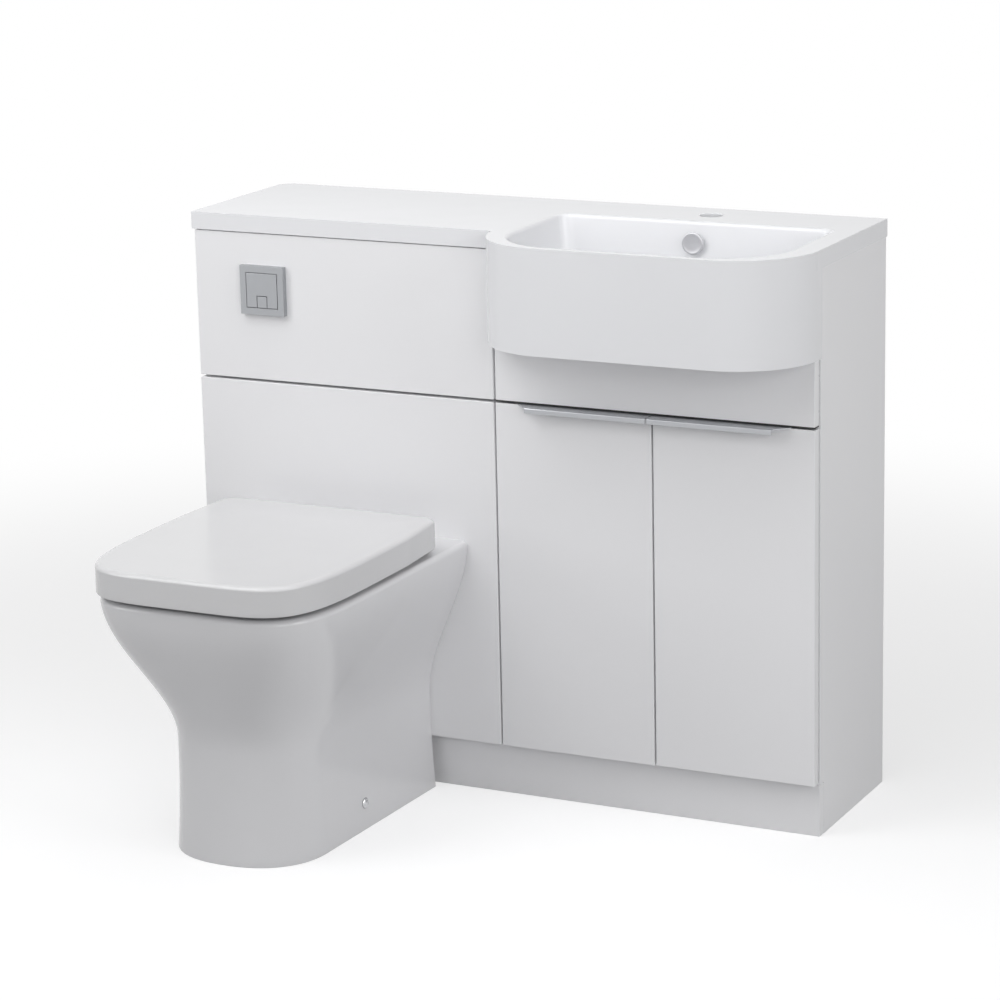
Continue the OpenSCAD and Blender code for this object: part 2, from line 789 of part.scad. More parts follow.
module flush_plate() {
  color(satin_chrome) difference() {
    union() {
      block([plate_x - plate_w / 2, plate_front, plate_z - plate_w / 2],
            [plate_x + plate_w / 2, face_y, plate_z + plate_w / 2]);
      bar_y(plate_x, plate_z, barrel_r, face_y - eps, face_y + barrel_l);
    }
    block([plate_x - well_w / 2, plate_front - 1, plate_z - well_w / 2],
          [plate_x + well_w / 2, well_back, plate_z + well_w / 2]);
    bar_y(plate_x, plate_z, barrel_r - 2, face_y, face_y + barrel_l + 1);
    bar_y(plate_x, full_stem_z, full_stem_r + 0.5, well_back - 1, face_y + 1);
    bar_y(plate_x, half_stem_z, half_stem_r + 0.5, well_back - 1, face_y + 1);
  }
}

stem_l = 24;

module full_flush_button() {
  color(satin_chrome) {
    difference() {
      block([plate_x - button_w / 2, button_front, button_z0],
            [plate_x + button_w / 2, button_front + button_t, button_z0 + button_w]);
      block([half_x0 - button_gap, button_front - 1, button_z0 - 1],
            [half_x0 + half_w + button_gap, button_front + button_t + 1, button_z0 + half_h + button_gap]);
    }
    bar_y(plate_x, full_stem_z, full_stem_r, button_front + button_t - eps, button_front + button_t + stem_l);
  }
}

module half_flush_button() {
  color(satin_chrome) {
    block([half_x0, button_front, button_z0],
          [half_x0 + half_w, button_front + button_t, button_z0 + half_h]);
    bar_y(plate_x, half_stem_z, half_stem_r, button_front + button_t - eps, button_front + button_t + stem_l);
  }
}

module plate_nut() {
  color(grey_plastic) difference() {
    bar_y(plate_x, plate_z, barrel_r + 9, back_face_y, back_face_y + 8);
    bar_y(plate_x, plate_z, barrel_r + 0.05, back_face_y - 1, back_face_y + 9);
  }
}

pump_y0 = face_y + 4;
pump_y1 = face_y + barrel_l + 6;
nipple_l = 8;
tube_r = 3;

// Two small pumps behind the buttons, in the plate's barrel
module pump_body() {
  color(grey_plastic) {
    difference() {
      bar_y(plate_x, plate_z, barrel_r - 2.05, pump_y0, pump_y1);
      bar_y(plate_x, full_stem_z, full_stem_r + run_gap, pump_y0 - 1, pump_y1 - 6);
      bar_y(plate_x, half_stem_z, half_stem_r + run_gap, pump_y0 - 1, pump_y1 - 6);
    }
    for (z = [full_stem_z, half_stem_z]) bar_y(plate_x, z, tube_r, pump_y1 - eps, pump_y1 + nipple_l);
  }
}

tank_top = worktop_h - tank_drop;
tank_z0 = inlet_z + tank_lift;
valve_x = pan_x;
valve_y = tank_y0 + (cab_depth - 20 - tank_y0) / 2;
lid_plate_z = tank_top + 6;
boss_r = 20;
boss_h = 8;
boss_top = lid_plate_z + boss_h;
tube_gap = 14;       // distance between the two air tubes on the valve

// Route of an air tube from the pump to the flush valve, chosen by hand
function tube_route(z, dx, lift) = [
  [plate_x, pump_y1 + nipple_l, z],
  [plate_x, pump_y1 + nipple_l + 9, z],
  [plate_x + 3, pump_y1 + 32, boss_top - 10 + lift],
  [plate_x + 16, tank_y0 + 8, boss_top + 8 + lift],
  [plate_x + 48, tank_y0 + 30, boss_top + 22 + lift],
  [valve_x - 50, valve_y - 14, boss_top + 28 + lift],
  [valve_x + dx - 16, valve_y - 3, boss_top + 24 + lift / 2],
  [valve_x + dx, valve_y, boss_top + 12],
  [valve_x + dx, valve_y, boss_top]];

module air_tubes() {
  color([0.35, 0.55, 0.75]) {
    sweep(curve(tube_route(full_stem_z, tube_gap / 2, 6), 4), tube_r, 8, [1, -1, 0]);
    sweep(curve(tube_route(half_stem_z, -tube_gap / 2, -3), 4), tube_r, 8, [1, -1, 0]);
  }
}

// ---------------------------------------------------------------- cistern

tank_x0 = valve_x - tank_w / 2;
tank_x1 = valve_x + tank_w / 2;
tank_y1 = cab_depth - 20;
inlet_neck_r = inlet_thread_r + 0.4;       // neck of the inlet, which its nut slides over
fill_x = tank_x0 + 60;
shank_r = 24;        // threaded outlet of the flush valve
shank_l = 30;        // its length below the tank
valve_disc_r = 40;   // discs at the ends of the flush valve's cage
valve_nut_h = 14;

module cistern_tank() {
  w = tank_wall;
  color([0.88, 0.89, 0.90]) difference() {
    block([tank_x0, tank_y0, tank_z0], [tank_x1, tank_y1, tank_top]);
    block([tank_x0 + w, tank_y0 + w, tank_z0 + w], [tank_x1 - w, tank_y1 - w, tank_top + 1]);
    bar_z(fill_x, valve_y, inlet_neck_r + 0.5, tank_z0 - 1, tank_z0 + w + 1);
    bar_z(valve_x, valve_y, shank_r + 0.5, tank_z0 - 1, tank_z0 + w + 1);
  }
}

module cistern_lid() {
  w = tank_wall;
  color([0.88, 0.89, 0.90]) difference() {
    union() {
      block([tank_x0 - 3, tank_y0 - 3, tank_top], [tank_x1 + 3, tank_y1 + 3, lid_plate_z]);
      block([tank_x0 + w + 0.5, tank_y0 + w + 0.5, tank_top - 6],
            [tank_x1 - w - 0.5, tank_y1 - w - 0.5, tank_top + eps]);
    }
    block([tank_x0 + w + 3, tank_y0 + w + 3, tank_top - 7],
          [tank_x1 - w - 3, tank_y1 - w - 3, tank_top + 2]);
    bar_z(valve_x, valve_y, boss_r + 0.5, tank_top - 8, lid_plate_z + 1);
  }
}

hanger_half = 20;    // half the width of the plates that hang the tank
hanger_drop = 60;    // how far they reach below the tank's top

// Plates that hang the tank on the wall rail
module cistern_brackets() {
  rail_y = cab_depth - board_t;
  color(zinc) for (s = [-1, 1])
    block([valve_x + s * tank_w / 3 - hanger_half, tank_y1, tank_top - hanger_drop],
          [valve_x + s * tank_w / 3 + hanger_half, rail_y, tank_top - 4]);
}

tower_r = 9;
fill_nut_h = 12;
thread_l = 26;                             // length of the inlet's thread below its nut
inlet_end = tank_z0 - fill_nut_h - thread_l;
fill_head_z = tank_top - 40;               // underside of the valve's head
fill_head_w = 16;
fill_head_l = 44;

module fill_valve() {
  z_in = tank_z0 + tank_wall;
  color(grey_plastic) {
    difference() {
      union() {
        bar_z(fill_x, valve_y, inlet_thread_r, inlet_end, tank_z0 - fill_nut_h + eps);
        bar_z(fill_x, valve_y, inlet_neck_r, tank_z0 - fill_nut_h, z_in + eps);
        bar_z(fill_x, valve_y, inlet_thread_r + 8, z_in, z_in + 4);
        bar_z(fill_x, valve_y, tower_r, z_in, fill_head_z);
      }
      bar_z(fill_x, valve_y, inlet_thread_r - 4, inlet_end - 1, fill_head_z - 20);
    }
    block([fill_x - fill_head_w, valve_y - fill_head_w, fill_head_z - eps],
          [fill_x + fill_head_l, valve_y + fill_head_w, fill_head_z + 24]);
  }
}

module fill_valve_nut() {
  color(grey_plastic) difference() {
    translate([fill_x, valve_y, tank_z0 - fill_nut_h]) cylinder(h = fill_nut_h, r = 17, $fn = 6);
    bar_z(fill_x, valve_y, inlet_neck_r + 0.05, tank_z0 - fill_nut_h - 1, tank_z0 + 1);
  }
}

float_h = 55;

module float_cup() {
  z0 = tank_z0 + tank_wall + 4 + seat_gap;
  color([0.85, 0.45, 0.20])
    tube_z(fill_x, valve_y, 26, tower_r + run_gap, z0, z0 + float_h);
}

valve_flange_z = tank_z0 + tank_wall;
cage_h = 110;
column_z0 = valve_flange_z + 6 + cage_h;
piston_tube_r = 16;

module flush_valve() {
  color([0.90, 0.90, 0.92]) difference() {
    union() {
      bar_z(valve_x, valve_y, shank_r, tank_z0 - shank_l, valve_flange_z + eps);
      bar_z(valve_x, valve_y, valve_disc_r, valve_flange_z, valve_flange_z + 6);
      for (a = [90, 210, 330])
        translate([valve_x, valve_y, valve_flange_z]) rotate([0, 0, a])
          block([valve_disc_r - 6, -5, 0], [valve_disc_r - 1, 5, cage_h + 7]);
      bar_z(valve_x, valve_y, valve_disc_r, column_z0, column_z0 + 6);
      bar_z(valve_x, valve_y, boss_r, column_z0, boss_top);
    }
    bar_z(valve_x, valve_y, shank_r - 4, tank_z0 - shank_l - 1, valve_flange_z + 7);
    bar_z(valve_x, valve_y, piston_tube_r + run_gap, column_z0 - 1, lid_plate_z - 4);
  }
}

module flush_valve_nut() {
  color(grey_plastic) difference() {
    translate([valve_x, valve_y, tank_z0 - valve_nut_h])
      cylinder(h = valve_nut_h, r = shank_r + 12, $fn = 8);
    bar_z(valve_x, valve_y, shank_r + 0.05, tank_z0 - valve_nut_h - 1, tank_z0 + 1);
  }
}

piston_top = column_z0 + 70;
piston_r = 30;       // disc that closes the valve's seat
piston_t = 8;

module flush_piston() {
  z0 = valve_flange_z + 6 + seat_gap;
  color([0.20, 0.35, 0.60]) difference() {
    union() {
      bar_z(valve_x, valve_y, piston_r, z0, z0 + piston_t);
      bar_z(valve_x, valve_y, piston_tube_r, z0 + piston_t - eps, piston_top);
    }
    bar_z(valve_x, valve_y, piston_tube_r - 3, z0 + piston_t + 4, piston_top + 1);
  }
}

pipe_bend = 60;
pipe_wall = 2.5;
pipe_top = tank_z0 - shank_l;
pipe_y1 = face_y - 30;                     // end of the flush pipe inside the pan

module flush_pipe() {
  color([0.92, 0.92, 0.93]) {
    tube_z(valve_x, valve_y, pipe_r, pipe_r - pipe_wall, inlet_z + pipe_bend, pipe_top);
    translate([valve_x, valve_y - pipe_bend, inlet_z + pipe_bend])
      rotate([90, 0, 90]) rotate([0, 0, -90]) rotate_extrude(angle = 90) difference() {
        translate([pipe_bend, 0]) circle(r = pipe_r);
        translate([pipe_bend, 0]) circle(r = pipe_r - pipe_wall);
      }
    difference() {
      bar_y(valve_x, inlet_z, pipe_r, pipe_y1, valve_y - pipe_bend);
      bar_y(valve_x, inlet_z, pipe_r - pipe_wall, pipe_y1 - eps, valve_y - pipe_bend + eps);
    }
  }
}

module flush_cone() {
  color(dark_rubber) difference() {
    union() {
      bar_y(pan_x, inlet_z, inlet_r - 0.05, face_y - 24, face_y);
      bar_y(pan_x, inlet_z, inlet_r + 5, face_y - eps, face_y + 8);
    }
    bar_y(valve_x, inlet_z, pipe_r + 0.05, face_y - 25, face_y + 9);
  }
}

// ---------------------------------------------------------------- pan

rim_side_y = 200;    // where the straight sides of rim, seat and lid start to round to the front
foot_side_y = 330;   // the same at the foot
flare_bend = 0.93;   // below 1 the flare is quicker near its start

function back_flare(z) = smooth((z - waist_z) / (rim_z - waist_z));
function nose_flare(z) = pow(smooth((z - nose_z) / (rim_z - nose_z)), flare_bend);
function pan_foot(z) = foot_spread * pow(max(0, 1 - z / waist_z), 2);
function pan_back_half(z) = mix(waist_half, rim_back_half, back_flare(z)) + pan_foot(z);
function pan_side_half(z) = mix(nose_half, rim_half, nose_flare(z)) + pan_foot(z);
function pan_side(z) = mix(foot_side_y, rim_side_y, nose_flare(z));
function pan_reach(z) = mix(waist_front, pan_front, nose_flare(z)) + pan_foot(z);
function pan_square(z) = mix(2.3, 5, nose_flare(z));

// Half the pan's width at height z, where its sides are straight, y in front of the carcass
function pan_half_at(z, y) =
  mix(pan_back_half(z), pan_side_half(z), (y + face_y) / (pan_side(z) + face_y));

// Half outline, from where the straight side ends to the middle of the front
function nose(half, side, reach, power, steps) = [for (i = [0:steps])
  [half * pow(cos(90 * i / steps), 2 / power),
   -side - (reach - side) * pow(sin(90 * i / steps), 2 / power)]];

// Whole ring at height z, anticlockwise from above, starting at the left back corner
function pan_ring(z, inset, back_in) =
  let (right = concat([[pan_back_half(z) - inset, face_y - back_in]],
                      nose(pan_side_half(z) - inset, pan_side(z), pan_reach(z) - inset, pan_square(z), 14)),
       n = len(right))
    concat([for (i = [0:n - 1]) [pan_x - right[i][0], right[i][1], z]],
           [for (i = [n - 2:-1:0]) [pan_x + right[i][0], right[i][1], z]]);

rim_round = 8;
pan_steps = 12;

module pan_outside() {
  loft(concat(
    [for (k = [0:pan_steps]) pan_ring(mix(0, rim_z - rim_round, k / pan_steps), 0, 0)],
    [for (k = [1:3]) let (a = 30 * k)
      pan_ring(rim_z - rim_round * (1 - sin(a)), rim_round * (1 - cos(a)), 0)]));
}

deck_t = 22;         // thickness of the pan's top deck

module pan_inside() {
  top = rim_z - deck_t;
  loft([for (k = [0:pan_steps - 2])
    pan_ring(k == 0 ? -1 : mix(0, top, k / (pan_steps - 2)), pan_wall, pan_wall)]);
}

bowl_mid_y = -310;   // middle of the bowl's opening
sump_y = -262;       // middle of the water trap's well
sump_z = 170;        // bottom of the well

// Levels of the bowl: height below the rim, half width, half length, middle
pan_bowl_levels = [
  [rim_z - sump_z, 30, 34, sump_y],
  [rim_z - sump_z - 14, 42, 48, sump_y],
  [rim_z - 226, 52, 62, sump_y - 4],
  [rim_z - 262, 80, 98, sump_y - 18],
  [rim_z - 300, 108, 136, sump_y - 36],
  [rim_z - 340, 126, 160, bowl_mid_y],
  [34, 134, 170, bowl_mid_y],
  [20, 132, 168, bowl_mid_y],
  [12, 122, 158, bowl_mid_y]];

function oval(z, a, b, mid, power) = [for (i = [0:35])
  let (c = cos(10 * i), s = sin(10 * i))
    [pan_x + a * sign(c) * pow(abs(c), 2 / power), mid + b * sign(s) * pow(abs(s), 2 / power), z]];

function bowl_levels(grow) = [for (l = pan_bowl_levels)
  oval(rim_z - l[0] - (l == pan_bowl_levels[0] ? grow : 0), l[1] + grow, l[2] + grow, l[3], 2.5)];

module pan_bowl(grow) {
  last = pan_bowl_levels[len(pan_bowl_levels) - 1];
  top = rim_z + (grow > 0 ? -3 : 1);
  loft(concat(bowl_levels(grow), [oval(top, last[1] + grow, last[2] + grow, last[3], 2.5)]));
}

// Middle line of the trap, from the well over the weir to the outlet
trap_path = curve([[pan_x, sump_y + 10, sump_z + 22], [pan_x, sump_y + 55, sump_z + 44],
  [pan_x, sump_y + 100, sump_z + 76], [pan_x, sump_y + 140, sump_z + 62],
  [pan_x, face_y - 58, outlet_z + 6], [pan_x, face_y - 34, outlet_z], [pan_x, face_y - 14, outlet_z]], 2);
trap_r = 36;
spigot_y = face_y + 48;                    // end of the soil outlet behind the front panel

module pan() {
  color(white_ceramic) difference() {
    union() {
      difference() {
        pan_outside();
        pan_inside();
      }
      intersection() {
        union() {
          pan_bowl(9);
          sweep(trap_path, trap_r + 8, 16, [1, 0, 0]);
        }
        pan_outside();
      }
      bar_y(pan_x, outlet_z, outlet_r, face_y - 20, spigot_y);
      bar_y(pan_x, inlet_z, inlet_r + 9, face_y - 60, face_y - 1);
    }
    pan_bowl(0);
    sweep(trap_path, trap_r, 16, [1, 0, 0]);
    bar_y(pan_x, outlet_z, outlet_r - 8, face_y - 16, spigot_y + 1);
    bar_y(pan_x, inlet_z, inlet_r, face_y - 40, face_y + 1);
    bar_y(pan_x, inlet_z - 4, 12, -190, face_y - 38);
    for (s = [-1, 1]) {
      translate([pan_x, 0, 0]) scale([s, 1, 1]) {
        bar_x(-fix_y, fix_z, fix_r + 1.5, cap_x - pan_wall * 2, cap_x + pan_wall);
        bar_x(-fix_y, fix_z, cap_r + 0.6, cap_x - seat_gap, cap_x + pan_wall);
      }
      bar_z(pan_x + s * hinge_pitch / 2, -hinge_y, post_bolt_r + 1, rim_z - deck_t - 1, rim_z + 1);
    }
  }
}

fix_y = 225;         // floor fixing of the pan
fix_z = 40;
fix_r = 3;
cap_x = pan_half_at(fix_z, fix_y);         // inner face of the screw caps, in a shallow round seat
cap_r = 8;
foot_half = 16;      // half the width of the floor brackets
foot_l = 50;
foot_t = 12;
foot_base = 8;

// Angle brackets inside the pan, screwed to the floor, with their screws
module pan_fixings() {
  face_x = pan_half_at(fix_z + foot_half, fix_y + foot_half) - pan_wall - 2 * seat_gap;
  color(grey_plastic) for (s = [-1, 1]) {
    translate([pan_x, 0, 0]) scale([s, 1, 1]) {
      difference() {
        union() {
          block([face_x - foot_t, -fix_y - foot_half, 0], [face_x, -fix_y + foot_half, fix_z + foot_half]);
          block([face_x - foot_l, -fix_y - foot_half, 0], [face_x, -fix_y + foot_half, foot_base]);
        }
        bar_z(face_x - foot_l + foot_half, -fix_y, 4, -1, foot_base + 1);
        bar_x(-fix_y, fix_z, fix_r + 0.1, face_x - foot_t - 1, face_x + 1);
      }
      bar_x(-fix_y, fix_z, fix_r, face_x - foot_t - 4, cap_x);
    }
  }
}

module pan_screw_caps() {
  color(bright_chrome) for (s = [-1, 1])
    translate([pan_x, 0, 0]) scale([s, 1, 1]) {
      bar_x(-fix_y, fix_z, cap_r, cap_x, cap_x + 3);
      bar_x(-fix_y, fix_z, cap_r - 3, cap_x + 3 - eps, cap_x + 4);
    }
}

// ---------------------------------------------------------------- seat and lid

lid_z0 = rim_z + lid_gap;
lid_z1 = lid_z0 + lid_h;
lid_round = 7;       // rounding of the lid's top edge, measured downwards
lid_roll = 9;        // the same, measured inwards
lid_cove = 6;        // rounding inside, under the lid's top, measured downwards
back_corner = 24;    // rounding of the lid's back corners
hinge_z = rim_z + hinge_up;

// Ring of the lid's outline with rounded back corners
function lid_ring(z, inset) =
  let (half = lid_half - inset, back = lid_back_half - inset, r = max(4, back_corner - inset / 2),
       y1 = -lid_back - inset,
       corner = [for (i = [0:5]) [back - r + r * sin(18 * i), y1 - r + r * cos(18 * i)]],
       right = concat(corner, nose(half, rim_side_y, lid_front - inset, 5, 14)), n = len(right))
    concat([for (i = [0:n - 1]) [pan_x - right[i][0], right[i][1], z]],
           [for (i = [n - 2:-1:0]) [pan_x + right[i][0], right[i][1], z]]);

post_w = 22;         // width of a hinge post
post_r = 9;          // its round top
post_bolt_r = 4;
pin_d_r = 4;         // hinge pin
pin_reach = 16;      // pin beyond the post, on each side
lug_w = 10;

module lid_shell() {
  difference() {
    loft(concat([lid_ring(lid_z0, 1.5), lid_ring(lid_z0 + 1.5, 0)],
      [for (k = [0:5]) let (a = 18 * k)
        lid_ring(lid_z1 - lid_round * (1 - sin(a)), lid_roll * (1 - cos(a)))]));
    loft([lid_ring(lid_z0 - 1, lid_wall), lid_ring(lid_z1 - lid_top - lid_cove, lid_wall),
          lid_ring(lid_z1 - lid_top, lid_wall + 3)]);
    // room for the hinge posts and the seat's lugs
    for (s = [-1, 1])
      block([pan_x + s * hinge_pitch / 2 - post_w / 2 - lug_w - 2, -lid_back - 12, lid_z0 - 2],
            [pan_x + s * hinge_pitch / 2 + post_w / 2 + lug_w + 2, -lid_back + 2, hinge_z + 12]);
  }
}

module lid() {
  color(white_ceramic) {
    lid_shell();
    for (s = [-1, 1]) lug(s, 1, lid_z1 - lid_top + eps);
  }
}

// Lug round the hinge pin, outside the post for the lid and inside it for the seat
module lug(s, way, top) {
  x = pan_x + s * (hinge_pitch / 2 + way * (post_w / 2 + 0.5 + lug_w / 2));
  difference() {
    union() {
      bar_x(-hinge_y, hinge_z, 8, x - lug_w / 2, x + lug_w / 2);
      if (way > 0)
        block([x - lug_w / 2, -hinge_y - 8, hinge_z], [x + lug_w / 2, -hinge_y + 6, top]);
      else
        block([x - lug_w / 2, -hinge_y - 30, hinge_z - 8], [x + lug_w / 2, -hinge_y, hinge_z + 4]);
    }
    bar_x(-hinge_y, hinge_z, pin_d_r + run_gap, x - lug_w, x + lug_w);
  }
}

seat_z0 = rim_z + buffer_h;
seat_z1 = seat_z0 + seat_t;
seat_in = lid_wall + 2.5;
seat_back = hinge_y + 18;                  // back edge of the ring

function seat_ring(z, inset) =
  let (half = lid_half - seat_in - inset, back = lid_back_half - seat_in - inset, r = 10,
       y1 = -seat_back - inset,
       corner = [for (i = [0:3]) [back - r + r * sin(30 * i), y1 - r + r * cos(30 * i)]],
       right = concat(corner, nose(half, rim_side_y, lid_front - seat_in - inset, 5, 12)), n = len(right))
    concat([for (i = [0:n - 1]) [pan_x - right[i][0], right[i][1], z]],
           [for (i = [n - 2:-1:0]) [pan_x + right[i][0], right[i][1], z]]);

seat_hole = [110, 142];                    // half width and half length of the opening
seat_hole_y = -318;

module seat() {
  color(white_ceramic) {
    difference() {
      loft([seat_ring(seat_z0, 2), seat_ring(seat_z0 + 2, 0), seat_ring(seat_z1 - 7, 0),
            seat_ring(seat_z1 - 2, 2.5), seat_ring(seat_z1, 8)]);
      loft([oval(seat_z0 - 1, seat_hole[0] - 1, seat_hole[1] - 1, seat_hole_y, 2.4),
            oval(seat_z0 + 6, seat_hole[0], seat_hole[1], seat_hole_y, 2.4),
            oval(seat_z1 - 5, seat_hole[0] + 2, seat_hole[1] + 2, seat_hole_y, 2.4),
            oval(seat_z1 + 1, seat_hole[0] + 12, seat_hole[1] + 12, seat_hole_y, 2.4)]);
    }
    for (s = [-1, 1]) lug(s, -1, 0);
  }
}

module seat_hinges() {
  color(bright_chrome) for (s = [-1, 1]) {
    x = pan_x + s * hinge_pitch / 2;
    bar_z(x, -hinge_y, 11, rim_z, rim_z + 4);
    block([x - post_w / 2 + 3, -hinge_y - 7, rim_z + 3], [x + post_w / 2 - 3, -hinge_y + 7, hinge_z]);
    bar_x(-hinge_y, hinge_z, post_r - 2, x - post_w / 2, x + post_w / 2);
    bar_x(-hinge_y, hinge_z, pin_d_r, x - post_w / 2 - pin_reach + 4, x + post_w / 2 + pin_reach - 4);
    bar_z(x, -hinge_y, post_bolt_r, rim_z - deck_t - 24, rim_z + 1);
    bar_z(x, -hinge_y, 12, rim_z - deck_t - 10, rim_z - deck_t);
  }
}

seat_buffer_x = 140;
seat_buffer_ys = [-440, -200];
seat_buffer_r = 8;
lid_buffer_x = 148;
lid_buffer_y = -400;
lid_buffer_r = 6;

// Rubber buffers under the seat
module seat_buffers() {
  color(buffer_grey) for (s = [-1, 1], y = seat_buffer_ys)
    bar_z(pan_x + s * seat_buffer_x, y, seat_buffer_r, rim_z + seat_gap, seat_z0);
}

// Rubber buffers under the lid
module lid_buffers() {
  color(buffer_grey) for (s = [-1, 1])
    bar_z(pan_x + s * lid_buffer_x, lid_buffer_y, lid_buffer_r, seat_z1 + seat_gap, lid_z1 - lid_top);
}

// ---------------------------------------------------------------- parts by name

place() {
  worktop_basin();
  overflow_cover();
  overflow_elbow();
  overflow_hose();
  waste_body();
  waste_seals();
  overflow_collar();
  waste_backnut();
  waste_plug();
  wc_side_left();
  wc_side_right();
  wc_rails();
  wc_upper_panel();
  wc_lower_panel();
  panel_clips();
  plinth();
  plinth_blocks();
  basin_side_left();
  basin_side_right();
  basin_floor();
  basin_back();
  basin_rails();
  basin_upper_panel();
  shelf();
  shelf_pins();
  worktop_brackets();
  left_door();
  right_door();
  left_handle();
  right_handle();
  left_hinge_cups();
  right_hinge_cups();
  hinge_arms();
  left_buffers();
  right_buffers();
  flush_plate();
  full_flush_button();
  half_flush_button();
  plate_nut();
  pump_body();
  air_tubes();
  cistern_tank();
  cistern_lid();
  cistern_brackets();
  fill_valve();
  fill_valve_nut();
  float_cup();
  flush_valve();
  flush_valve_nut();
  flush_piston();
  flush_pipe();
  flush_cone();
  pan();
  pan_fixings();
  pan_screw_caps();
  seat();
  lid();
  seat_hinges();
  seat_buffers();
  lid_buffers();
}
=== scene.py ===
import bmesh
import bpy
import json
import math
from mathutils import Matrix, Vector


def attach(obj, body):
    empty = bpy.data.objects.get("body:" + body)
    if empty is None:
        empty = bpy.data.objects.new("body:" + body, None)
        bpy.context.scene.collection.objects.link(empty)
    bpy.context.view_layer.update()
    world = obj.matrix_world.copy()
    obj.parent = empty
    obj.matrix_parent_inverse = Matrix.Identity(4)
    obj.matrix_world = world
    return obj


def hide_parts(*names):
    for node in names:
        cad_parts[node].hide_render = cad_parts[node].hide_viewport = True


# Toilet and basin combination unit. Sizes below are in millimetres, measured from the left end
# of the cabinets, the front of the carcass and the floor, and go to metres in the frame at the end.

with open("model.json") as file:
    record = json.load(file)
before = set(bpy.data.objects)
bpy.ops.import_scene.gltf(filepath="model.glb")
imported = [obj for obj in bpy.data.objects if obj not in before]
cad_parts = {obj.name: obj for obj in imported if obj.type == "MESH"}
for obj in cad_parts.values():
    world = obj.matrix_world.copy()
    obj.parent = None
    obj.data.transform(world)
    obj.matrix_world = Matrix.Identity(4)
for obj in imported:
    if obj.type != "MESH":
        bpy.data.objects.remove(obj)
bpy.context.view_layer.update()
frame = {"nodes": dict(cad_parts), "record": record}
record = frame["record"]
bodyOf = {node: body for body, nodes in record["behaviour"]["bodies"].items() for node in nodes}
slotOf = {part["node"]: part["material_slot"] for part in record["subparts"]}
toFrame = Matrix.Translation((-0.5, 0.129, 0)) @ Matrix.Scale(0.001, 4)


# Sums on sockets, and one way to add a node

class Sock:
    def __init__(self, maker, out):
        self.maker, self.out = maker, out

    def calc(self, how, a, b):
        return self.maker.add("ShaderNodeMath", {0: a, 1: b}, operation=how)[0]

    def __add__(self, other):
        return self.calc("ADD", self, other)

    def __radd__(self, other):
        return self.calc("ADD", other, self)

    def __sub__(self, other):
        return self.calc("SUBTRACT", self, other)

    def __rsub__(self, other):
        return self.calc("SUBTRACT", other, self)

    def __mul__(self, other):
        return self.calc("MULTIPLY", self, other)

    def __rmul__(self, other):
        return self.calc("MULTIPLY", other, self)

    def __truediv__(self, other):
        return self.calc("DIVIDE", self, other)


class Maker:
    # Adds nodes to a tree; a kind without the word Node is of the tree's own sort
    def __init__(self, tree, sort="ShaderNode"):
        self.tree, self.sort = tree, sort

    def add(self, kind, sockets=None, stops=(), **settings):
        node = self.tree.nodes.new(kind if "Node" in kind else self.sort + kind)
        for stop, (place, level) in zip(node.color_ramp.elements if stops else (), stops):
            stop.position, stop.color = place, (level, level, level, 1)
        for key, value in settings.items():
            setattr(node, key, value)
        for key, value in (sockets or {}).items():
            if isinstance(value, Sock):
                self.tree.links.new(value.out, node.inputs[key])
            else:
                node.inputs[key].default_value = value
        return Outs(self, node)


class Outs:
    def __init__(self, maker, node):
        self.maker, self.node = maker, node

    def __getitem__(self, key):
        return Sock(self.maker, self.node.outputs[key])


# Finishes

class Finish:
    # A material with the object's own coordinates and a Principled shader at hand
    def __init__(self, name, colour, rough, metal=0.0, **fixed):
        self.material = bpy.data.materials.new(name)
        self.material.use_nodes = True
        self.material.diffuse_color = self.colour = (*colour, 1)
        self.material.node_tree.nodes.clear()
        self.make = Maker(self.material.node_tree)
        self.place = self.make.add("TexCoord")["Object"]
        self.shader = self.make.add("BsdfPrincipled", {"Base Color": self.colour, "Roughness": rough,
                                                       "Metallic": metal, **fixed})
        self.make.add("OutputMaterial", {"Surface": self.shader["BSDF"]})

    def noise(self, scale, detail=2.0, stretch=None):
        place = self.place
        if stretch:
            place = self.make.add("Mapping", {"Vector": place, "Scale": stretch})[0]
        return self.make.add("TexNoise", {"Vector": place, "Scale": scale, "Detail": detail})[0]

    def cells(self, scale):
        return self.make.add("TexVoronoi", {"Vector": self.place, "Scale": scale}, feature="F1")["Distance"]

    def ramp(self, value, *stops):
        return self.make.add("ValToRGB", {"Fac": value}, stops)[0]

    def coat(self, mask, shade, rough, height, depth, strength):
        # Tint towards the shade by a mask, roughness, and bump of a depth in metres
        tint = self.make.add("Mix", {0: mask, 6: self.colour, 7: (*shade, 1)}, data_type="RGBA")[2]
        bump = self.make.add("Bump", {"Height": height, "Distance": depth, "Strength": strength})["Normal"]
        for key, value in (("Base Color", tint), ("Roughness", rough), ("Normal", bump)):
            if value:
                self.make.tree.links.new(value.out, self.shader.node.inputs[key])
        return self.material


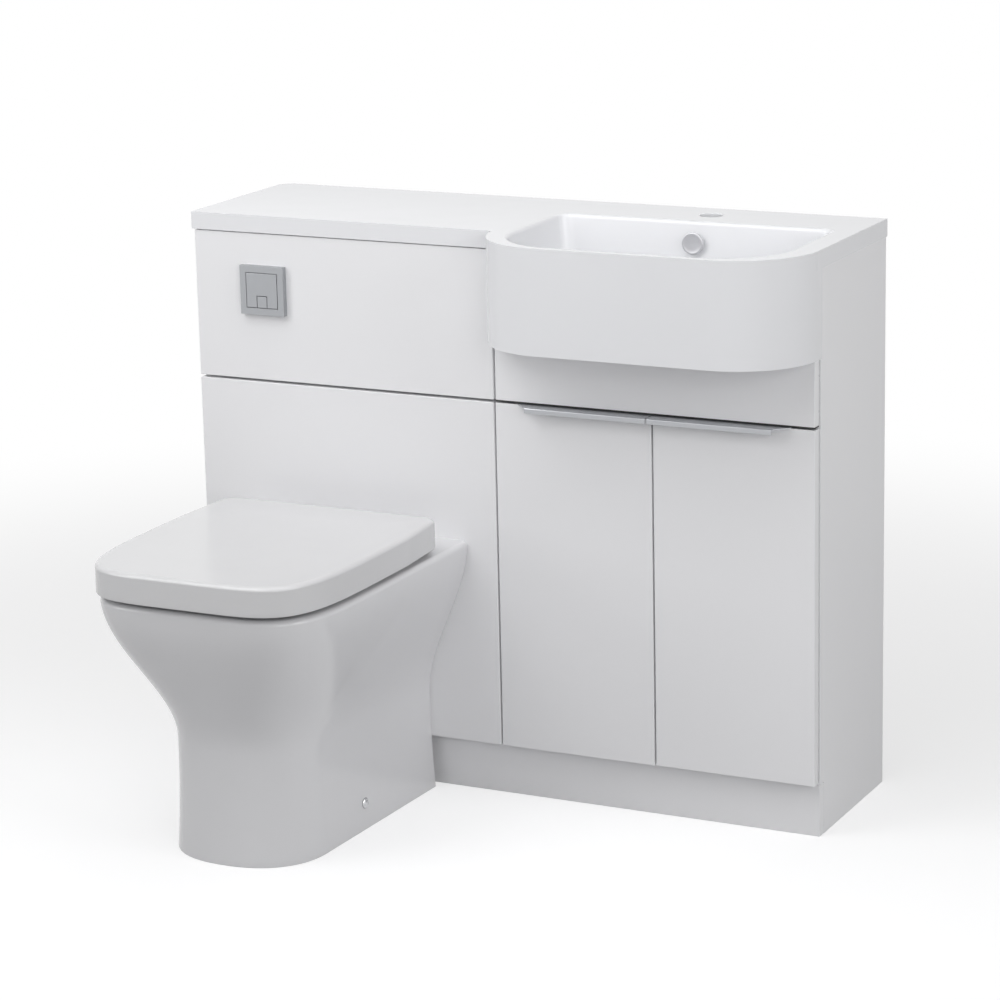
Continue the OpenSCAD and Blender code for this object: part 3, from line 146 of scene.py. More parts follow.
castLook = {"colour": (0.80, 0.805, 0.825), "shade": (0.79, 0.795, 0.815), "rough": 0.22}
boardLook = {"colour": (0.838, 0.838, 0.853), "shade": (0.828, 0.828, 0.843), "rough": 0.29}
carcassLook = {"colour": (0.74, 0.74, 0.75), "shade": (0.69, 0.69, 0.70), "rough": 0.38}
ceramicLook = {"colour": (0.71, 0.71, 0.725), "shade": (0.69, 0.69, 0.705), "rough": 0.13}
seatLook = {"colour": (0.65, 0.65, 0.66), "shade": (0.62, 0.62, 0.63), "rough": 0.10}
chromeLook = {"colour": (0.60, 0.605, 0.62), "shade": (0.54, 0.545, 0.56), "rough": 0.06}
coverLook = {"colour": (0.62, 0.62, 0.645), "shade": (0.58, 0.58, 0.60), "rough": 0.32, "metal": 0.4}
satinLook = {"colour": (0.38, 0.39, 0.408), "shade": (0.355, 0.365, 0.382), "rough": 0.34, "metal": 0.55}
pullLook = {"colour": (0.50, 0.51, 0.53), "shade": (0.40, 0.41, 0.43), "rough": 0.26, "metal": 0.8}
zincLook = {"colour": (0.56, 0.57, 0.58), "shade": (0.44, 0.45, 0.44), "rough": 0.25}


def castWhite(v=castLook):  # gel-coated cast mineral
    f = Finish("castWhite", v["colour"], 0.2, IOR=1.5)
    return f.coat(f.ramp(f.noise(4, 2), (0.35, 0), (0.7, 1)), v["shade"], f.noise(14, 2) * 0.05 + v["rough"],
                  f.noise(6, 1) + f.noise(320, 1) * 0.012, 0.0003, 0.5)


def boardWhite(v=boardLook):  # lacquered boards: orange peel on slow waves
    f = Finish("boardWhite", v["colour"], 0.2, IOR=1.5)
    return f.coat(f.noise(2.2, 1), v["shade"], f.noise(8, 1) * 0.04 + v["rough"],
                  f.noise(420, 1) * 0.04 + f.noise(7, 1), 0.0001, 0.5)


def carcassWhite(v=carcassLook):  # melamine face with a fine pearl grain
    f = Finish("carcassWhite", v["colour"], 0.5, IOR=1.45)
    grain = f.noise(900, 2)
    return f.coat(f.noise(4, 2) * 0.4 + grain * 0.4, v["shade"], grain * 0.18 + v["rough"], grain,
                  0.00008, 0.7)


def glazedCeramic(v=ceramicLook):  # glaze: deep gloss over slow waves
    f = Finish("glazedCeramic", v["colour"], 0.1, IOR=1.52)
    slow = f.noise(7, 2)
    specks = f.ramp(f.cells(120), (0.012, 1), (0.03, 0))
    return f.coat(f.ramp(slow, (0.3, 0), (0.75, 1)) * 0.5 + specks * 0.25, v["shade"],
                  f.noise(9, 2) * 0.05 + v["rough"], slow + f.noise(45, 2) * 0.06, 0.0008, 0.35)


def seatPlastic(v=seatLook):  # pressed thermoset, polished
    f = Finish("seatPlastic", v["colour"], 0.15, IOR=1.5)
    return f.coat(f.noise(6, 2) * 0.5 + f.noise(200, 1) * 0.2, v["shade"], f.noise(22, 3) * 0.10 + v["rough"],
                  f.noise(11, 2) + f.noise(500, 1) * 0.03, 0.0004, 0.4)


def polishedChrome(v=chromeLook):  # wipe marks run upwards
    f = Finish("polishedChrome", v["colour"], 0.1, 1.0)
    return f.coat(f.noise(35, 3), v["shade"], f.noise(60, 3, (1, 1, 0.15)) * 0.12 + v["rough"],
                  f.noise(240, 2), 0.00003, 0.4)


def coverChrome(v=coverLook):  # overflow disc: plating dulled by water marks
    f = Finish("coverChrome", v["colour"], 0.4, v["metal"])
    return f.coat(f.noise(120, 2), v["shade"], f.noise(300, 2) * 0.12 + v["rough"],
                  f.noise(240, 2), 0.00002, 0.4)


def satinChrome(v=satinLook):  # fine cloudy satin plating on plastic
    f = Finish("satinChrome", v["colour"], 0.4, v["metal"])
    fine = f.noise(1400, 2)
    return f.coat(f.noise(40, 3) * 0.6 + fine * 0.2, v["shade"], fine * 0.2 + v["rough"], fine, 0.00004, 0.6)


def brushedMetal(v=pullLook):  # satin pull, lines run along its length
    f = Finish("brushedMetal", v["colour"], 0.35, v["metal"])
    lines = f.noise(1000, 3, (0.02, 1, 1))
    return f.coat(lines, v["shade"], lines * 0.22 + v["rough"], lines, 0.00004, 0.7)


def zincPlate(v=zincLook):  # passivated steel with a faint flower pattern
    f = Finish("zincPlate", v["colour"], 0.35, 1.0)
    return f.coat(f.cells(180) * 0.8 + f.noise(30, 3) * 0.4, v["shade"], f.noise(90, 3) * 0.25 + v["rough"],
                  f.noise(500, 2), 0.00004, 0.5)


def mouldedPlastic(name, colour, shade, rough):  # fine spark-eroded grain
    f = Finish(name, colour, rough)
    grain = f.noise(1100, 2)
    return f.coat(f.noise(12, 3) * 0.7 + grain * 0.2, shade, grain * 0.16 + (rough - 0.08),
                  grain + f.noise(60, 2) * 0.3, 0.00008, 0.6)


def rubber(name, colour, shade):  # matt, slightly chalky
    f = Finish(name, colour, 0.75, IOR=1.45)
    dust = f.noise(70, 4)
    return f.coat(f.ramp(dust, (0.45, 0), (0.75, 1)), shade, dust * 0.2 + 0.62, f.noise(800, 2), 0.00010, 0.7)


finishOf = {
    "cast_white": castWhite(), "board_white": boardWhite(), "carcass_white": carcassWhite(),
    "ceramic_white": glazedCeramic(), "seat_white": seatPlastic(), "chrome": polishedChrome(),
    "satin_chrome": satinChrome(), "handle_metal": brushedMetal(), "zinc": zincPlate(),
    "grey_plastic": mouldedPlastic("greyPlastic", (0.28, 0.285, 0.30), (0.24, 0.245, 0.26), 0.45),
    "cistern_plastic": mouldedPlastic("cisternPlastic", (0.70, 0.71, 0.72), (0.64, 0.65, 0.66), 0.38),
    "float_orange": mouldedPlastic("floatOrange", (0.68, 0.20, 0.05), (0.60, 0.16, 0.04), 0.42),
    "valve_blue": mouldedPlastic("valveBlue", (0.04, 0.11, 0.32), (0.03, 0.09, 0.27), 0.40),
    "tube_blue": mouldedPlastic("tubeBlue", (0.12, 0.27, 0.50), (0.10, 0.23, 0.44), 0.30),
    "rubber_dark": rubber("rubberDark", (0.020, 0.020, 0.022), (0.045, 0.045, 0.047)),
    "rubber_grey": rubber("rubberGrey", (0.42, 0.42, 0.43), (0.50, 0.50, 0.51)),
}
print("finishes: %d materials" % len(finishOf))


# Mesh helpers

def skin(bm, rings, loop=False):
    # Faces between equal rings of points, with a face over each open end
    rows = [[bm.verts.new(p) for p in ring] for ring in rings]
    for low, high in list(zip(rows, rows[1:])) + ([(rows[-1], rows[0])] if loop else []):
        for i in range(len(low)):
            j = (i + 1) % len(low)
            bm.faces.new((low[i], low[j], high[j], high[i]))
    if not loop:
        bm.faces.new(list(reversed(rows[0])))
        bm.faces.new(rows[-1])
    return bm


def prism(bm, outline, z0, z1):
    return skin(bm, [[(x, y, z0) for x, y in outline], [(x, y, z1) for x, y in outline]])


def lathe(bm, centre, axis, profile, steps):
    # Turned body: profile of (radius, height along the axis); one face closes each end
    turn = Vector((0, 0, 1)).rotation_difference(Vector(axis)).to_matrix()
    rings = []
    for radius, height in profile:
        rings.append([Vector(centre) + turn @ Vector((radius * math.cos(2 * math.pi * k / steps),
                                                      radius * math.sin(2 * math.pi * k / steps), height))
                      for k in range(steps)])
    return skin(bm, rings)


def addObject(name, data):
    made = bpy.data.objects.new(name, data)
    bpy.context.scene.collection.objects.link(made)
    return made


def pieceFrom(bm, name, tidy=True):
    # Object at the frame's origin with its mesh in metres
    if tidy:
        bmesh.ops.remove_doubles(bm, verts=bm.verts, dist=0.0005)
        bmesh.ops.recalc_face_normals(bm, faces=bm.faces)
    bm.transform(toFrame)
    mesh = bpy.data.meshes.new(name)
    bm.to_mesh(mesh)
    bm.free()
    return addObject(name, mesh)


def shell(name, rings, loop=False):
    return pieceFrom(skin(bmesh.new(), rings, loop), name)


def block(name, outline, z0, z1):
    return pieceFrom(prism(bmesh.new(), outline, z0, z1), name)


def turned(name, centre, axis, profile, steps):
    return pieceFrom(lathe(bmesh.new(), centre, axis, profile, steps), name)


def plainMesh(piece):
    # Mesh of the piece after its modifiers
    bpy.context.view_layer.update()
    return bpy.data.meshes.new_from_object(piece.evaluated_get(bpy.context.evaluated_depsgraph_get()))


def bake(piece):
    # The modifiers' result becomes the plain mesh
    done, old = plainMesh(piece), piece.data
    piece.modifiers.clear()
    piece.data = done
    if old.users == 0:
        bpy.data.meshes.remove(old)
    piece.data.name = piece.name
    return piece


def combine(piece, how, *tools):
    for tool in tools:
        step = piece.modifiers.new("combine", "BOOLEAN")
        step.operation, step.solver, step.object = how, "EXACT", tool
    bake(piece)
    for tool in tools:
        bpy.data.objects.remove(tool)
    return piece


def flatten(piece):
    # Joins the triangles of each flat face
    bm = bmesh.new()
    bm.from_mesh(piece.data)
    bmesh.ops.remove_doubles(bm, verts=bm.verts, dist=0.000004)
    bmesh.ops.dissolve_limit(bm, angle_limit=math.radians(0.3), verts=bm.verts, edges=bm.edges)
    bm.to_mesh(piece.data)
    bm.free()
    return piece


def soften(piece, width, steps=2, angle=32):
    step = piece.modifiers.new("soften", "BEVEL")
    step.width, step.segments = width * 0.001, steps
    step.limit_method, step.angle_limit = "ANGLE", math.radians(angle)
    return bake(piece)


def shade(piece, sharp=42):
    for face in piece.data.polygons:
        face.use_smooth = True
    piece.data.set_sharp_from_angle(angle=math.radians(sharp))
    step = piece.modifiers.new("shade", "WEIGHTED_NORMAL")
    step.keep_sharp, step.weight = True, 80
    return bake(piece)


def place(piece, body, slot, *nodes):
    # Gives the piece its finish and its body, and hides the nodes that it stands for
    piece.data.materials.clear()
    piece.data.materials.append(finishOf[slot])
    for face in piece.data.polygons:
        face.material_index = 0
    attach(piece, body)
    if nodes:
        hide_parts(*nodes)
    return piece


def dress(steps=2, **widths):
    # Each node's own shape with its flats joined and its edges rounded to the given width
    for node, width in widths.items():
        words = node.split("_")
        name = words[0] + "".join(w.capitalize() for w in words[1:])
        bm = bmesh.new()
        bm.from_mesh(frame["nodes"][node].data)
        mesh = bpy.data.meshes.new(name)
        bm.to_mesh(mesh)
        bm.free()
        piece = shade(soften(flatten(addObject(name, mesh)), width, steps))
        place(piece, bodyOf[node], slotOf[node], node)


def arc(cx, cy, r, a0, a1, steps):
    return [(cx + r * math.cos(math.radians(a0 + (a1 - a0) * k / steps)),
             cy + r * math.sin(math.radians(a0 + (a1 - a0) * k / steps))) for k in range(steps + 1)]


def rect(x0, x1, y0, y1):
    return [(x0, y0), (x1, y0), (x1, y1), (x0, y1)]


def roundRect(x0, x1, y0, y1, r, steps):
    return (arc(x1 - r, y0 + r, r, 270, 360, steps) + arc(x1 - r, y1 - r, r, 0, 90, steps)
            + arc(x0 + r, y1 - r, r, 90, 180, steps) + arc(x0 + r, y0 + r, r, 180, 270, steps))


# Worktop and basin, one casting

worktop = {"left": -2, "right": 1002, "front": -20, "back": 262, "under": 834, "top": 860,
           "backCorner": 25, "edge": 3.2, "tapX": 750, "tapY": 206, "tapRadius": 17.5,
           "hollow": (48, 452, 18, 244), "hollowTop": 848, "hollowCorner": 8}
basin = {"left": 502.5, "right": 1002, "reach": 130, "under": 706, "corner": 118,
         "holeLeft": 536, "holeRight": 964, "holeFront": -115, "holeBack": 148,
         "frontCorner": 100, "backCorner": 16, "draft": 12, "floor": 724, "fillet": 28,
         "lip": 6.5, "body": (518, 982, -1, 165), "wasteY": 60, "wasteRadius": 22.95,
         "overflow": (750, 120, 823), "overflowRadius": 7, "overflowLong": 50}


def bowlRing(z, inset, fine=14):
    # The front corners keep 30 mm where the bowl narrows, the back ones 6 mm where it widens
    x0, x1 = basin["holeLeft"] + inset, basin["holeRight"] - inset
    y0, y1 = basin["holeFront"] + inset, basin["holeBack"] - inset
    rf, rb = max(30, basin["frontCorner"] - inset), basin["backCorner"] + max(inset, 0) / 3
    rb = max(6, rb - min(inset, 0))
    flat = (arc(x0 + rf, y0 + rf, rf, 180, 270, fine * 2) + arc(x1 - rf, y0 + rf, rf, 270, 360, fine * 2)
            + arc(x1 - rb, y1 - rb, rb, 0, 90, fine) + arc(x0 + rb, y1 - rb, rb, 90, 180, fine))
    return [(x, y, z) for x, y in flat]


def bowlTool():
    slope = math.tan(math.radians(basin["draft"]))
    top, floor, fillet, lip = worktop["top"], basin["floor"], basin["fillet"], basin["lip"]
    start = floor + fillet
    inset = lambda z: (top - z) * slope
    rings = []
    for k in range(0, 11):  # floor fillet
        a = math.radians(90 * k / 10)
        rings.append(bowlRing(start - fillet * math.cos(a), inset(start) + fillet * (1 - math.sin(a))))
    a0 = math.radians(basin["draft"])
    edge = top - lip * (1 - math.sin(a0))  # where the wall meets the rounded lip
    for k in range(1, 6):
        z = start + (edge - start) * k / 6
        rings.append(bowlRing(z, inset(z)))
    for k in range(0, 8):
        a = a0 + (math.pi / 2 - a0) * k / 8
        rings.append(bowlRing(top - lip + lip * math.sin(a),
                              inset(edge) - lip * (math.cos(a0) - math.cos(a))))
    last = inset(edge) - lip * math.cos(a0)
    rings += [bowlRing(top - 0.005, last), bowlRing(top + 3, last - 0.02)]
    return shell("bowlTool", rings)


def makeWorktop():
    w, b = worktop, basin
    under, top, k = w["under"], w["top"], w["backCorner"]
    slab = block("worktopBasin", [(w["left"], w["front"]), (w["right"], w["front"]), (w["right"], w["back"])]
                 + arc(w["left"] + k, w["back"] - k, k, 90, 180, 12), under, top)
    c, r = b["corner"], b["reach"]
    front = block("basinFront", [(b["left"], 0)] + arc(b["left"] + c, c - r, c, 180, 270, 40)
                  + arc(b["right"] - c, c - r, c, 270, 360, 40) + [(b["right"], 0)], b["under"], top)
    body = block("basinBody", rect(*b["body"]), b["under"], top - 8)
    combine(slab, "UNION", front, body)
    soften(flatten(slab), w["edge"], 4)
    hollow = block("hollowTool", roundRect(*w["hollow"], w["hollowCorner"], 4), under - 4, w["hollowTop"])
    t, q = w["tapRadius"], b["wasteRadius"]
    tapTool = turned("tapTool", (w["tapX"], w["tapY"], 0), (0, 0, 1),
                     [(t + 2, under - 5), (t + 0.6, under - 0.01), (t, under + 0.8), (t, top - 1.6),
                      (t + 0.25, top - 0.8), (t + 0.8, top - 0.25), (t + 1.6, top + 0.01),
                      (t + 1.6, top + 5)], 64)
    wasteTool = turned("wasteTool", (w["tapX"], b["wasteY"], 0), (0, 0, 1),
                       [(q + 1, b["under"] - 5), (q, b["under"] + 1), (q, b["floor"] - 1),
                        (q + 0.8, b["floor"] + 0.01), (q + 0.8, b["floor"] + 4)], 64)
    o = b["overflowRadius"]
    overflowTool = turned("overflowTool", b["overflow"], (0, 1, 0), [(o, 0), (o, b["overflowLong"])], 40)
    combine(slab, "DIFFERENCE", bowlTool(), hollow, tapTool, wasteTool, overflowTool)
    return place(shade(flatten(slab), 38), "cabinet", "cast_white", "worktop_basin")


makeWorktop()
print("worktop and basin: done")


# Overflow cover and basin waste

waste = {"x": 750, "y": 60, "plugZ": 728.3, "plugRadius": 29, "coverZ": 830, "coverRadius": 16.5,
         "coverBack": 137.79, "coverThick": 6, "stemZ": 823, "stemBack": 163, "stemOuter": 6.8,
         "stemInner": 4.8, "pinFoot": 652, "pinRadius": 3}


def makeOverflowCover():
    v = waste
    r, t, back = v["coverRadius"], v["coverThick"], v["coverBack"]
    bm = lathe(bmesh.new(), (v["x"], back, v["coverZ"]), (0, -1, 0),
               [(r - 1.2, 0), (r - 0.2, 0.8), (r, 1.6), (r, t - 1.8), (r - 0.35, t - 0.8), (r - 1.1, t - 0.2),
                (r - 2.2, t), (r - 3.2, t - 0.25), (r - 4.2, t - 0.8), (r - 8, t - 1.3), (0.6, t - 1.5)], 72)
    outer, inner, end = v["stemOuter"], v["stemInner"], v["stemBack"]
    lathe(bm, (v["x"], 0, v["stemZ"]), (0, 1, 0),
          [(outer, back), (outer, end), (inner, end), (inner, back + 1)], 36)
    piece = place(shade(pieceFrom(bm, "overflowCover"), 50), "cabinet", "chrome", "overflow_cover")
    piece.data.materials[0] = coverChrome()
    return piece


def makePlug():
    v = waste
    r, p = v["plugRadius"], v["pinRadius"]
    crown = [(r * math.sin(math.radians(a)), 3.6 + 3.3 * math.cos(math.radians(a)) ** 0.8)
             for a in (78, 66, 54, 42, 30, 20, 10, 3)]
    bm = lathe(bmesh.new(), (v["x"], v["y"], v["plugZ"]), (0, 0, 1),
               [(0.5, 0), (r - 1.2, 0), (r - 0.3, 0.5), (r, 1.3), (r, 2.6), (r - 0.2, 3.6)] + crown, 72)
    lathe(bm, (v["x"], v["y"], 0), (0, 0, 1), [(p - 0.6, v["pinFoot"]), (p, v["pinFoot"] + 0.8),
                                               (p, v["plugZ"] + 0.3)], 24)
    return place(shade(pieceFrom(bm, "wastePlug"), 50), "waste_plug", "chrome", "waste_plug")


makeOverflowCover()
makePlug()
dress(waste_body=0.4, waste_seals=0.2, waste_backnut=1.2, overflow_collar=1.0, overflow_elbow=1.2)
print("waste and overflow: done")


# Cabinets

dress(wc_side_left=0.8, wc_side_right=0.8, basin_side_left=0.8, basin_side_right=0.8, wc_rails=0.6,
      basin_floor=0.6, basin_back=0.3, basin_rails=0.6, shelf=0.8, plinth=0.9, plinth_blocks=1.5,
      shelf_pins=0.4, worktop_brackets=0.5, cistern_brackets=0.5, panel_clips=0.5)
dress(3, wc_upper_panel=1.3, wc_lower_panel=1.3, basin_upper_panel=1.3, left_door=1.3, right_door=1.3)
dress(left_hinge_cups=0.3, right_hinge_cups=0.3, hinge_arms=0.5, left_buffers=0.6, right_buffers=0.6)
print("cabinets: done")


# Folded pulls on the doors

doorMirror = 1500  # x and this less x are the same place on the two doors
pull = {"outer": 536.75, "inner": 748.75, "reach": 22, "face": -18, "top": 607.5, "thick": 1.5,
        "lip": 8, "leg": 26, "legThick": 1.2, "legBack": -0.8, "bend": 2.2}


def makePull(name, node, body, flip):
    v = pull
    r, t, top = v["bend"], v["thick"], v["top"]
    front, back = v["face"] - v["reach"], v["legBack"]
    outline = [((back, top - v["leg"]), (back - v["legThick"], top - v["leg"]))]
    for a in range(0, 91, 15):  # bend from the leg to the top plate
        c, s = math.cos(math.radians(a)), math.sin(math.radians(a))
        outline.append(((back - r + r * c, top - r + r * s),
                        (back - r + (r - v["legThick"]) * c, top - r + (r - t) * s)))
    outline.append(((v["face"], top), (v["face"], top - t)))
    for a in range(90, 181, 15):  # bend from the top plate to the lip
        c, s = math.cos(math.radians(a)), math.sin(math.radians(a))
        outline.append(((front + r + r * c, top - r + r * s),
                        (front + r + (r - t) * c, top - r + (r - t) * s)))
    outline.append(((front, top - v["lip"]), (front + t, top - v["lip"])))
    rings = []
    for a, b in outline:  # the top plate is cut away at 45 degrees outside
        start = v["outer"] + min(v["reach"], max(0, v["face"] - (a[0] + b[0]) / 2))
        rings.append([(start, *a), (v["inner"], *a), (v["inner"], *b), (start, *b)])
    if flip:
        rings = [[(doorMirror - x, y, z) for x, y, z in ring] for ring in rings]
    return place(shade(soften(shell(name, rings), 0.25, 2, 60), 40), body, "handle_metal", node)


makePull("leftPull", "left_handle", "left_door", False)
makePull("rightPull", "right_handle", "right_door", True)

# Sizes of the dark strips that paint the shadow in the gap above the doors
gapTrim = {"left": 501.5, "right": 998.5, "face": -17.6, "back": -2, "low": 608.6, "high": 610,
           "sealIn": 15, "sealLow": 598, "sealHigh": 612, "sealThick": 0.6}


def makePaintedShadowStrips():
    # Painted shadow: dark rubber strips in the gap above the doors, a trim under the basin panel and a strip
    # behind the doors' top edges, so that the gap renders near black
    v = gapTrim
    bm = prism(bmesh.new(), rect(v["left"], v["right"], v["face"], v["back"]), v["low"], v["high"])
    prism(bm, rect(v["left"] + v["sealIn"], v["right"] - v["sealIn"], -v["sealThick"], 0),
          v["sealLow"], v["sealHigh"])
    return place(shade(soften(pieceFrom(bm, "gapTrim"), 0.25)), "cabinet", "rubber_dark")


makePaintedShadowStrips()
print("pulls: done")


# Flush plate and cistern

dress(3, flush_plate=1.1, full_flush_button=0.7, half_flush_button=0.7, cistern_tank=1.8, cistern_lid=1.4,
      float_cup=1.2)
dress(plate_nut=1.2, pump_body=0.6, fill_valve=0.9, fill_valve_nut=1.0, flush_valve=0.7, flush_valve_nut=1.4,
      flush_piston=0.8, flush_pipe=0.5, flush_cone=0.8)
print("flush plate and cistern: done")


# Pan

pan = {"middle": 260, "side": (-330, -200), "face": -18, "rim": 392, "waist": 150, "noseWaist": 168,
       "bend": 0.93, "front": (433, 510), "half": (110, 187), "backHalf": (121, 191), "square": (2.3, 5),
       "foot": 6, "wall": 12, "deck": 22, "rimRound": 8, "joint": 2.2, "bowlMiddle": -310, "lip": 6,
       "outletZ": 180, "outletRadius": 51, "outletEnd": 30, "inletZ": 340, "inletRadius": 27.5,
       "trap": ((-252, 192), (-207, 214), (-162, 246), (-122, 232)), "trapRadius": 44, "trapWall": 8,
       "fixY": -225, "fixZ": 40, "hingeY": -98, "hingePitch": 156, "bolt": 5, "screw": 4.5, "capSeat": 8.6}
bowlLevels = [  # height, half width, half length, middle
    (170, 30, 34, -262), (184, 42, 48, -262), (226, 52, 62, -266), (262, 80, 98, -280), (300, 108, 136, -298),
    (340, 126, 160, -310), (358, 134, 170, -310), (372, 132, 168, -310), (380, 122, 158, -310)]
insideLevels = (170, 172.5, 177, 184, *range(194, 339, 12), 348, 356, 362, 367, 372, 376, 380)
underLevels = (367, 362, 356, 348, *range(338, 193, -12), 184, 176, 168, 163, 161)


def smooth(u):
    u = min(1, max(0, u))
    return u * u * (3 - 2 * u)


def panSizes(z):
    # Half widths at the cabinet and where the sides end, reach, power of the nose, end of the sides
    v = pan
    back = smooth((z - v["waist"]) / (v["rim"] - v["waist"]))
    flare = smooth((z - v["noseWaist"]) / (v["rim"] - v["noseWaist"])) ** v["bend"]
    foot = v["foot"] * max(0, 1 - z / v["waist"]) ** 2
    pick = lambda pair, u: pair[0] + (pair[1] - pair[0]) * u
    return (pick(v["backHalf"], back) + foot, pick(v["half"], flare) + foot, pick(v["front"], flare) + foot,
            pick(v["square"], flare), pick(v["side"], flare))


def nose(half, reach, power, side, steps):
    # Half outline from the right side to the middle of the front
    flat = []
    for i in range(steps + 1):
        a = math.radians(90 * i / steps)
        flat.append((half * math.cos(a) ** (2 / power) if i < steps else 0.0,
                     side - (reach + side) * math.sin(a) ** (2 / power)))
    return flat


def closedOutline(right, middle, backSteps):
    # Whole outline from its right half, with points along the straight back edge
    left = [(-x, y) for x, y in right]
    x0, y0 = right[0]
    back = [(x0 - 2 * x0 * k / backSteps, y0) for k in range(1, backSteps)]
    return [(middle + x, y) for x, y in left + list(reversed(right))[1:] + back]


def panRing(z, inset=0, backIn=0):
    backHalf, half, reach, power, sideEnd = panSizes(z)
    x0, y0, c = backHalf - inset, pan["face"] - backIn, pan["joint"]
    run = [(x0 + (half - backHalf) * k / 8, y0 + (sideEnd - y0) * k / 8) for k in range(1, 8)]
    front = nose(half - inset, reach - inset, power, sideEnd, 34)
    flat = closedOutline([(x0 - c, y0), (x0, y0 - c)] + run + front, pan["middle"], 24)
    return [(x, y, z) for x, y in flat]


def panHalfAt(z, y):
    # Half width of the pan's straight side at a height and a depth
    backHalf, half, reach, power, sideEnd = panSizes(z)
    return backHalf + (half - backHalf) * (y - pan["face"]) / (sideEnd - pan["face"])


def ovalRing(z, halfX, halfY, middleY, angles, power=2.5):
    ring = []
    for a in angles:
        c, s = math.cos(a), math.sin(a)
        r = (abs(c / halfX) ** power + abs(s / halfY) ** power) ** (-1 / power)
        ring.append((pan["middle"] + r * c, middleY + r * s, z))
    return ring


def curved(a, b, c, d, t):
    # Smooth step from b to c, for numbers and for points
    return 0.5 * (2 * b + (c - a) * t + (2 * a - 5 * b + 4 * c - d) * t * t
                  + (3 * b - a - 3 * c + d) * t ** 3)


def around(items, i):
    return [items[max(0, min(len(items) - 1, i + k))] for k in (-1, 0, 1, 2)]


def between(levels, z):
    # Smooth sizes between the given levels
    i = next((i for i in range(len(levels) - 1) if z <= levels[i + 1][0]), len(levels) - 2)
    near = around(levels, i)
    t = (z - near[1][0]) / (near[2][0] - near[1][0])
    return [curved(*(level[k] for level in near), t) for k in (1, 2, 3)]


def through(points, steps):
    # Smooth line through a few points
    spots = [Vector(p) for p in points]
    line = [curved(*around(spots, i), s / steps) for i in range(len(spots) - 1) for s in range(steps)]
    return line + spots[-1:]


def sweepTube(name, path, radius, steps):
    # Round bar along points that lie in one plane across X
    rings, across = [], Vector((1, 0, 0))
    for i, p in enumerate(path):
        d = (path[min(len(path) - 1, i + 1)] - path[max(0, i - 1)]).normalized()
        n = d.cross(across).normalized()
        rings.append([p + radius * (math.cos(2 * math.pi * k / steps) * across
                                    + math.sin(2 * math.pi * k / steps) * n) for k in range(steps)])
    return shell(name, rings)


def panShell():
    # One skin: inside of the bowl, deck, outer side, underside and outside of the bowl
    v = pan
    m, rim, wall, under = v["middle"], v["rim"], v["wall"], v["rim"] - v["deck"]
    top = panRing(rim, v["rimRound"])
    angles = [math.atan2(y - v["bowlMiddle"], x - m) for x, y, z in top]
    mouth = bowlLevels[-1]
    rings = []
    for z in insideLevels:
        a, b, middle = between(bowlLevels, z)
        shrink = {170: 9, 172.5: 4, 177: 1}.get(z, 0)
        rings.append(ovalRing(z, a - shrink, b - shrink, middle, angles))
    for k in range(0, 7):  # rounded lip of the opening
        s = math.radians(90 * k / 6)
        wider = v["lip"] * (1 - math.cos(s))
        rings.append(ovalRing(rim - v["lip"] * (1 - math.sin(s)), mouth[1] + wider, mouth[2] + wider,
                              mouth[3], angles))
    lip = rings[-1]
    for k in range(1, 6):  # flat deck between the opening and the rim
        rings.append([tuple(p[c] + (q[c] - p[c]) * k / 6 for c in range(3)) for p, q in zip(lip, top)])
    for k in range(8, -1, -1):  # rounded rim
        s = math.radians(90 * k / 8)
        rings.append(panRing(rim - v["rimRound"] * (1 - math.sin(s)), v["rimRound"] * (1 - math.cos(s))))
    levels = 46
    for k in range(levels - 1, 0, -1):
        rings.append(panRing((rim - v["rimRound"]) * k / levels))
    rings += [panRing(1.2), panRing(0.3, 0.5), panRing(0, 1.4, 0.5),
              panRing(0, wall - 1, wall - 1), panRing(1, wall, wall)]
    rings += [panRing(under * k / 24, wall, wall) for k in range(1, 24)]
    rings += [panRing(under - 3, wall + 1, wall + 1), panRing(under, wall + 4, wall + 4)]
    for z in underLevels:
        a, b, middle = between(bowlLevels, max(bowlLevels[0][0], z))
        wider = {163: 6, 161: -2}.get(z, 9)
        rings.append(ovalRing(z, a + wider, b + wider, middle, angles))
    return shell("pan", rings)


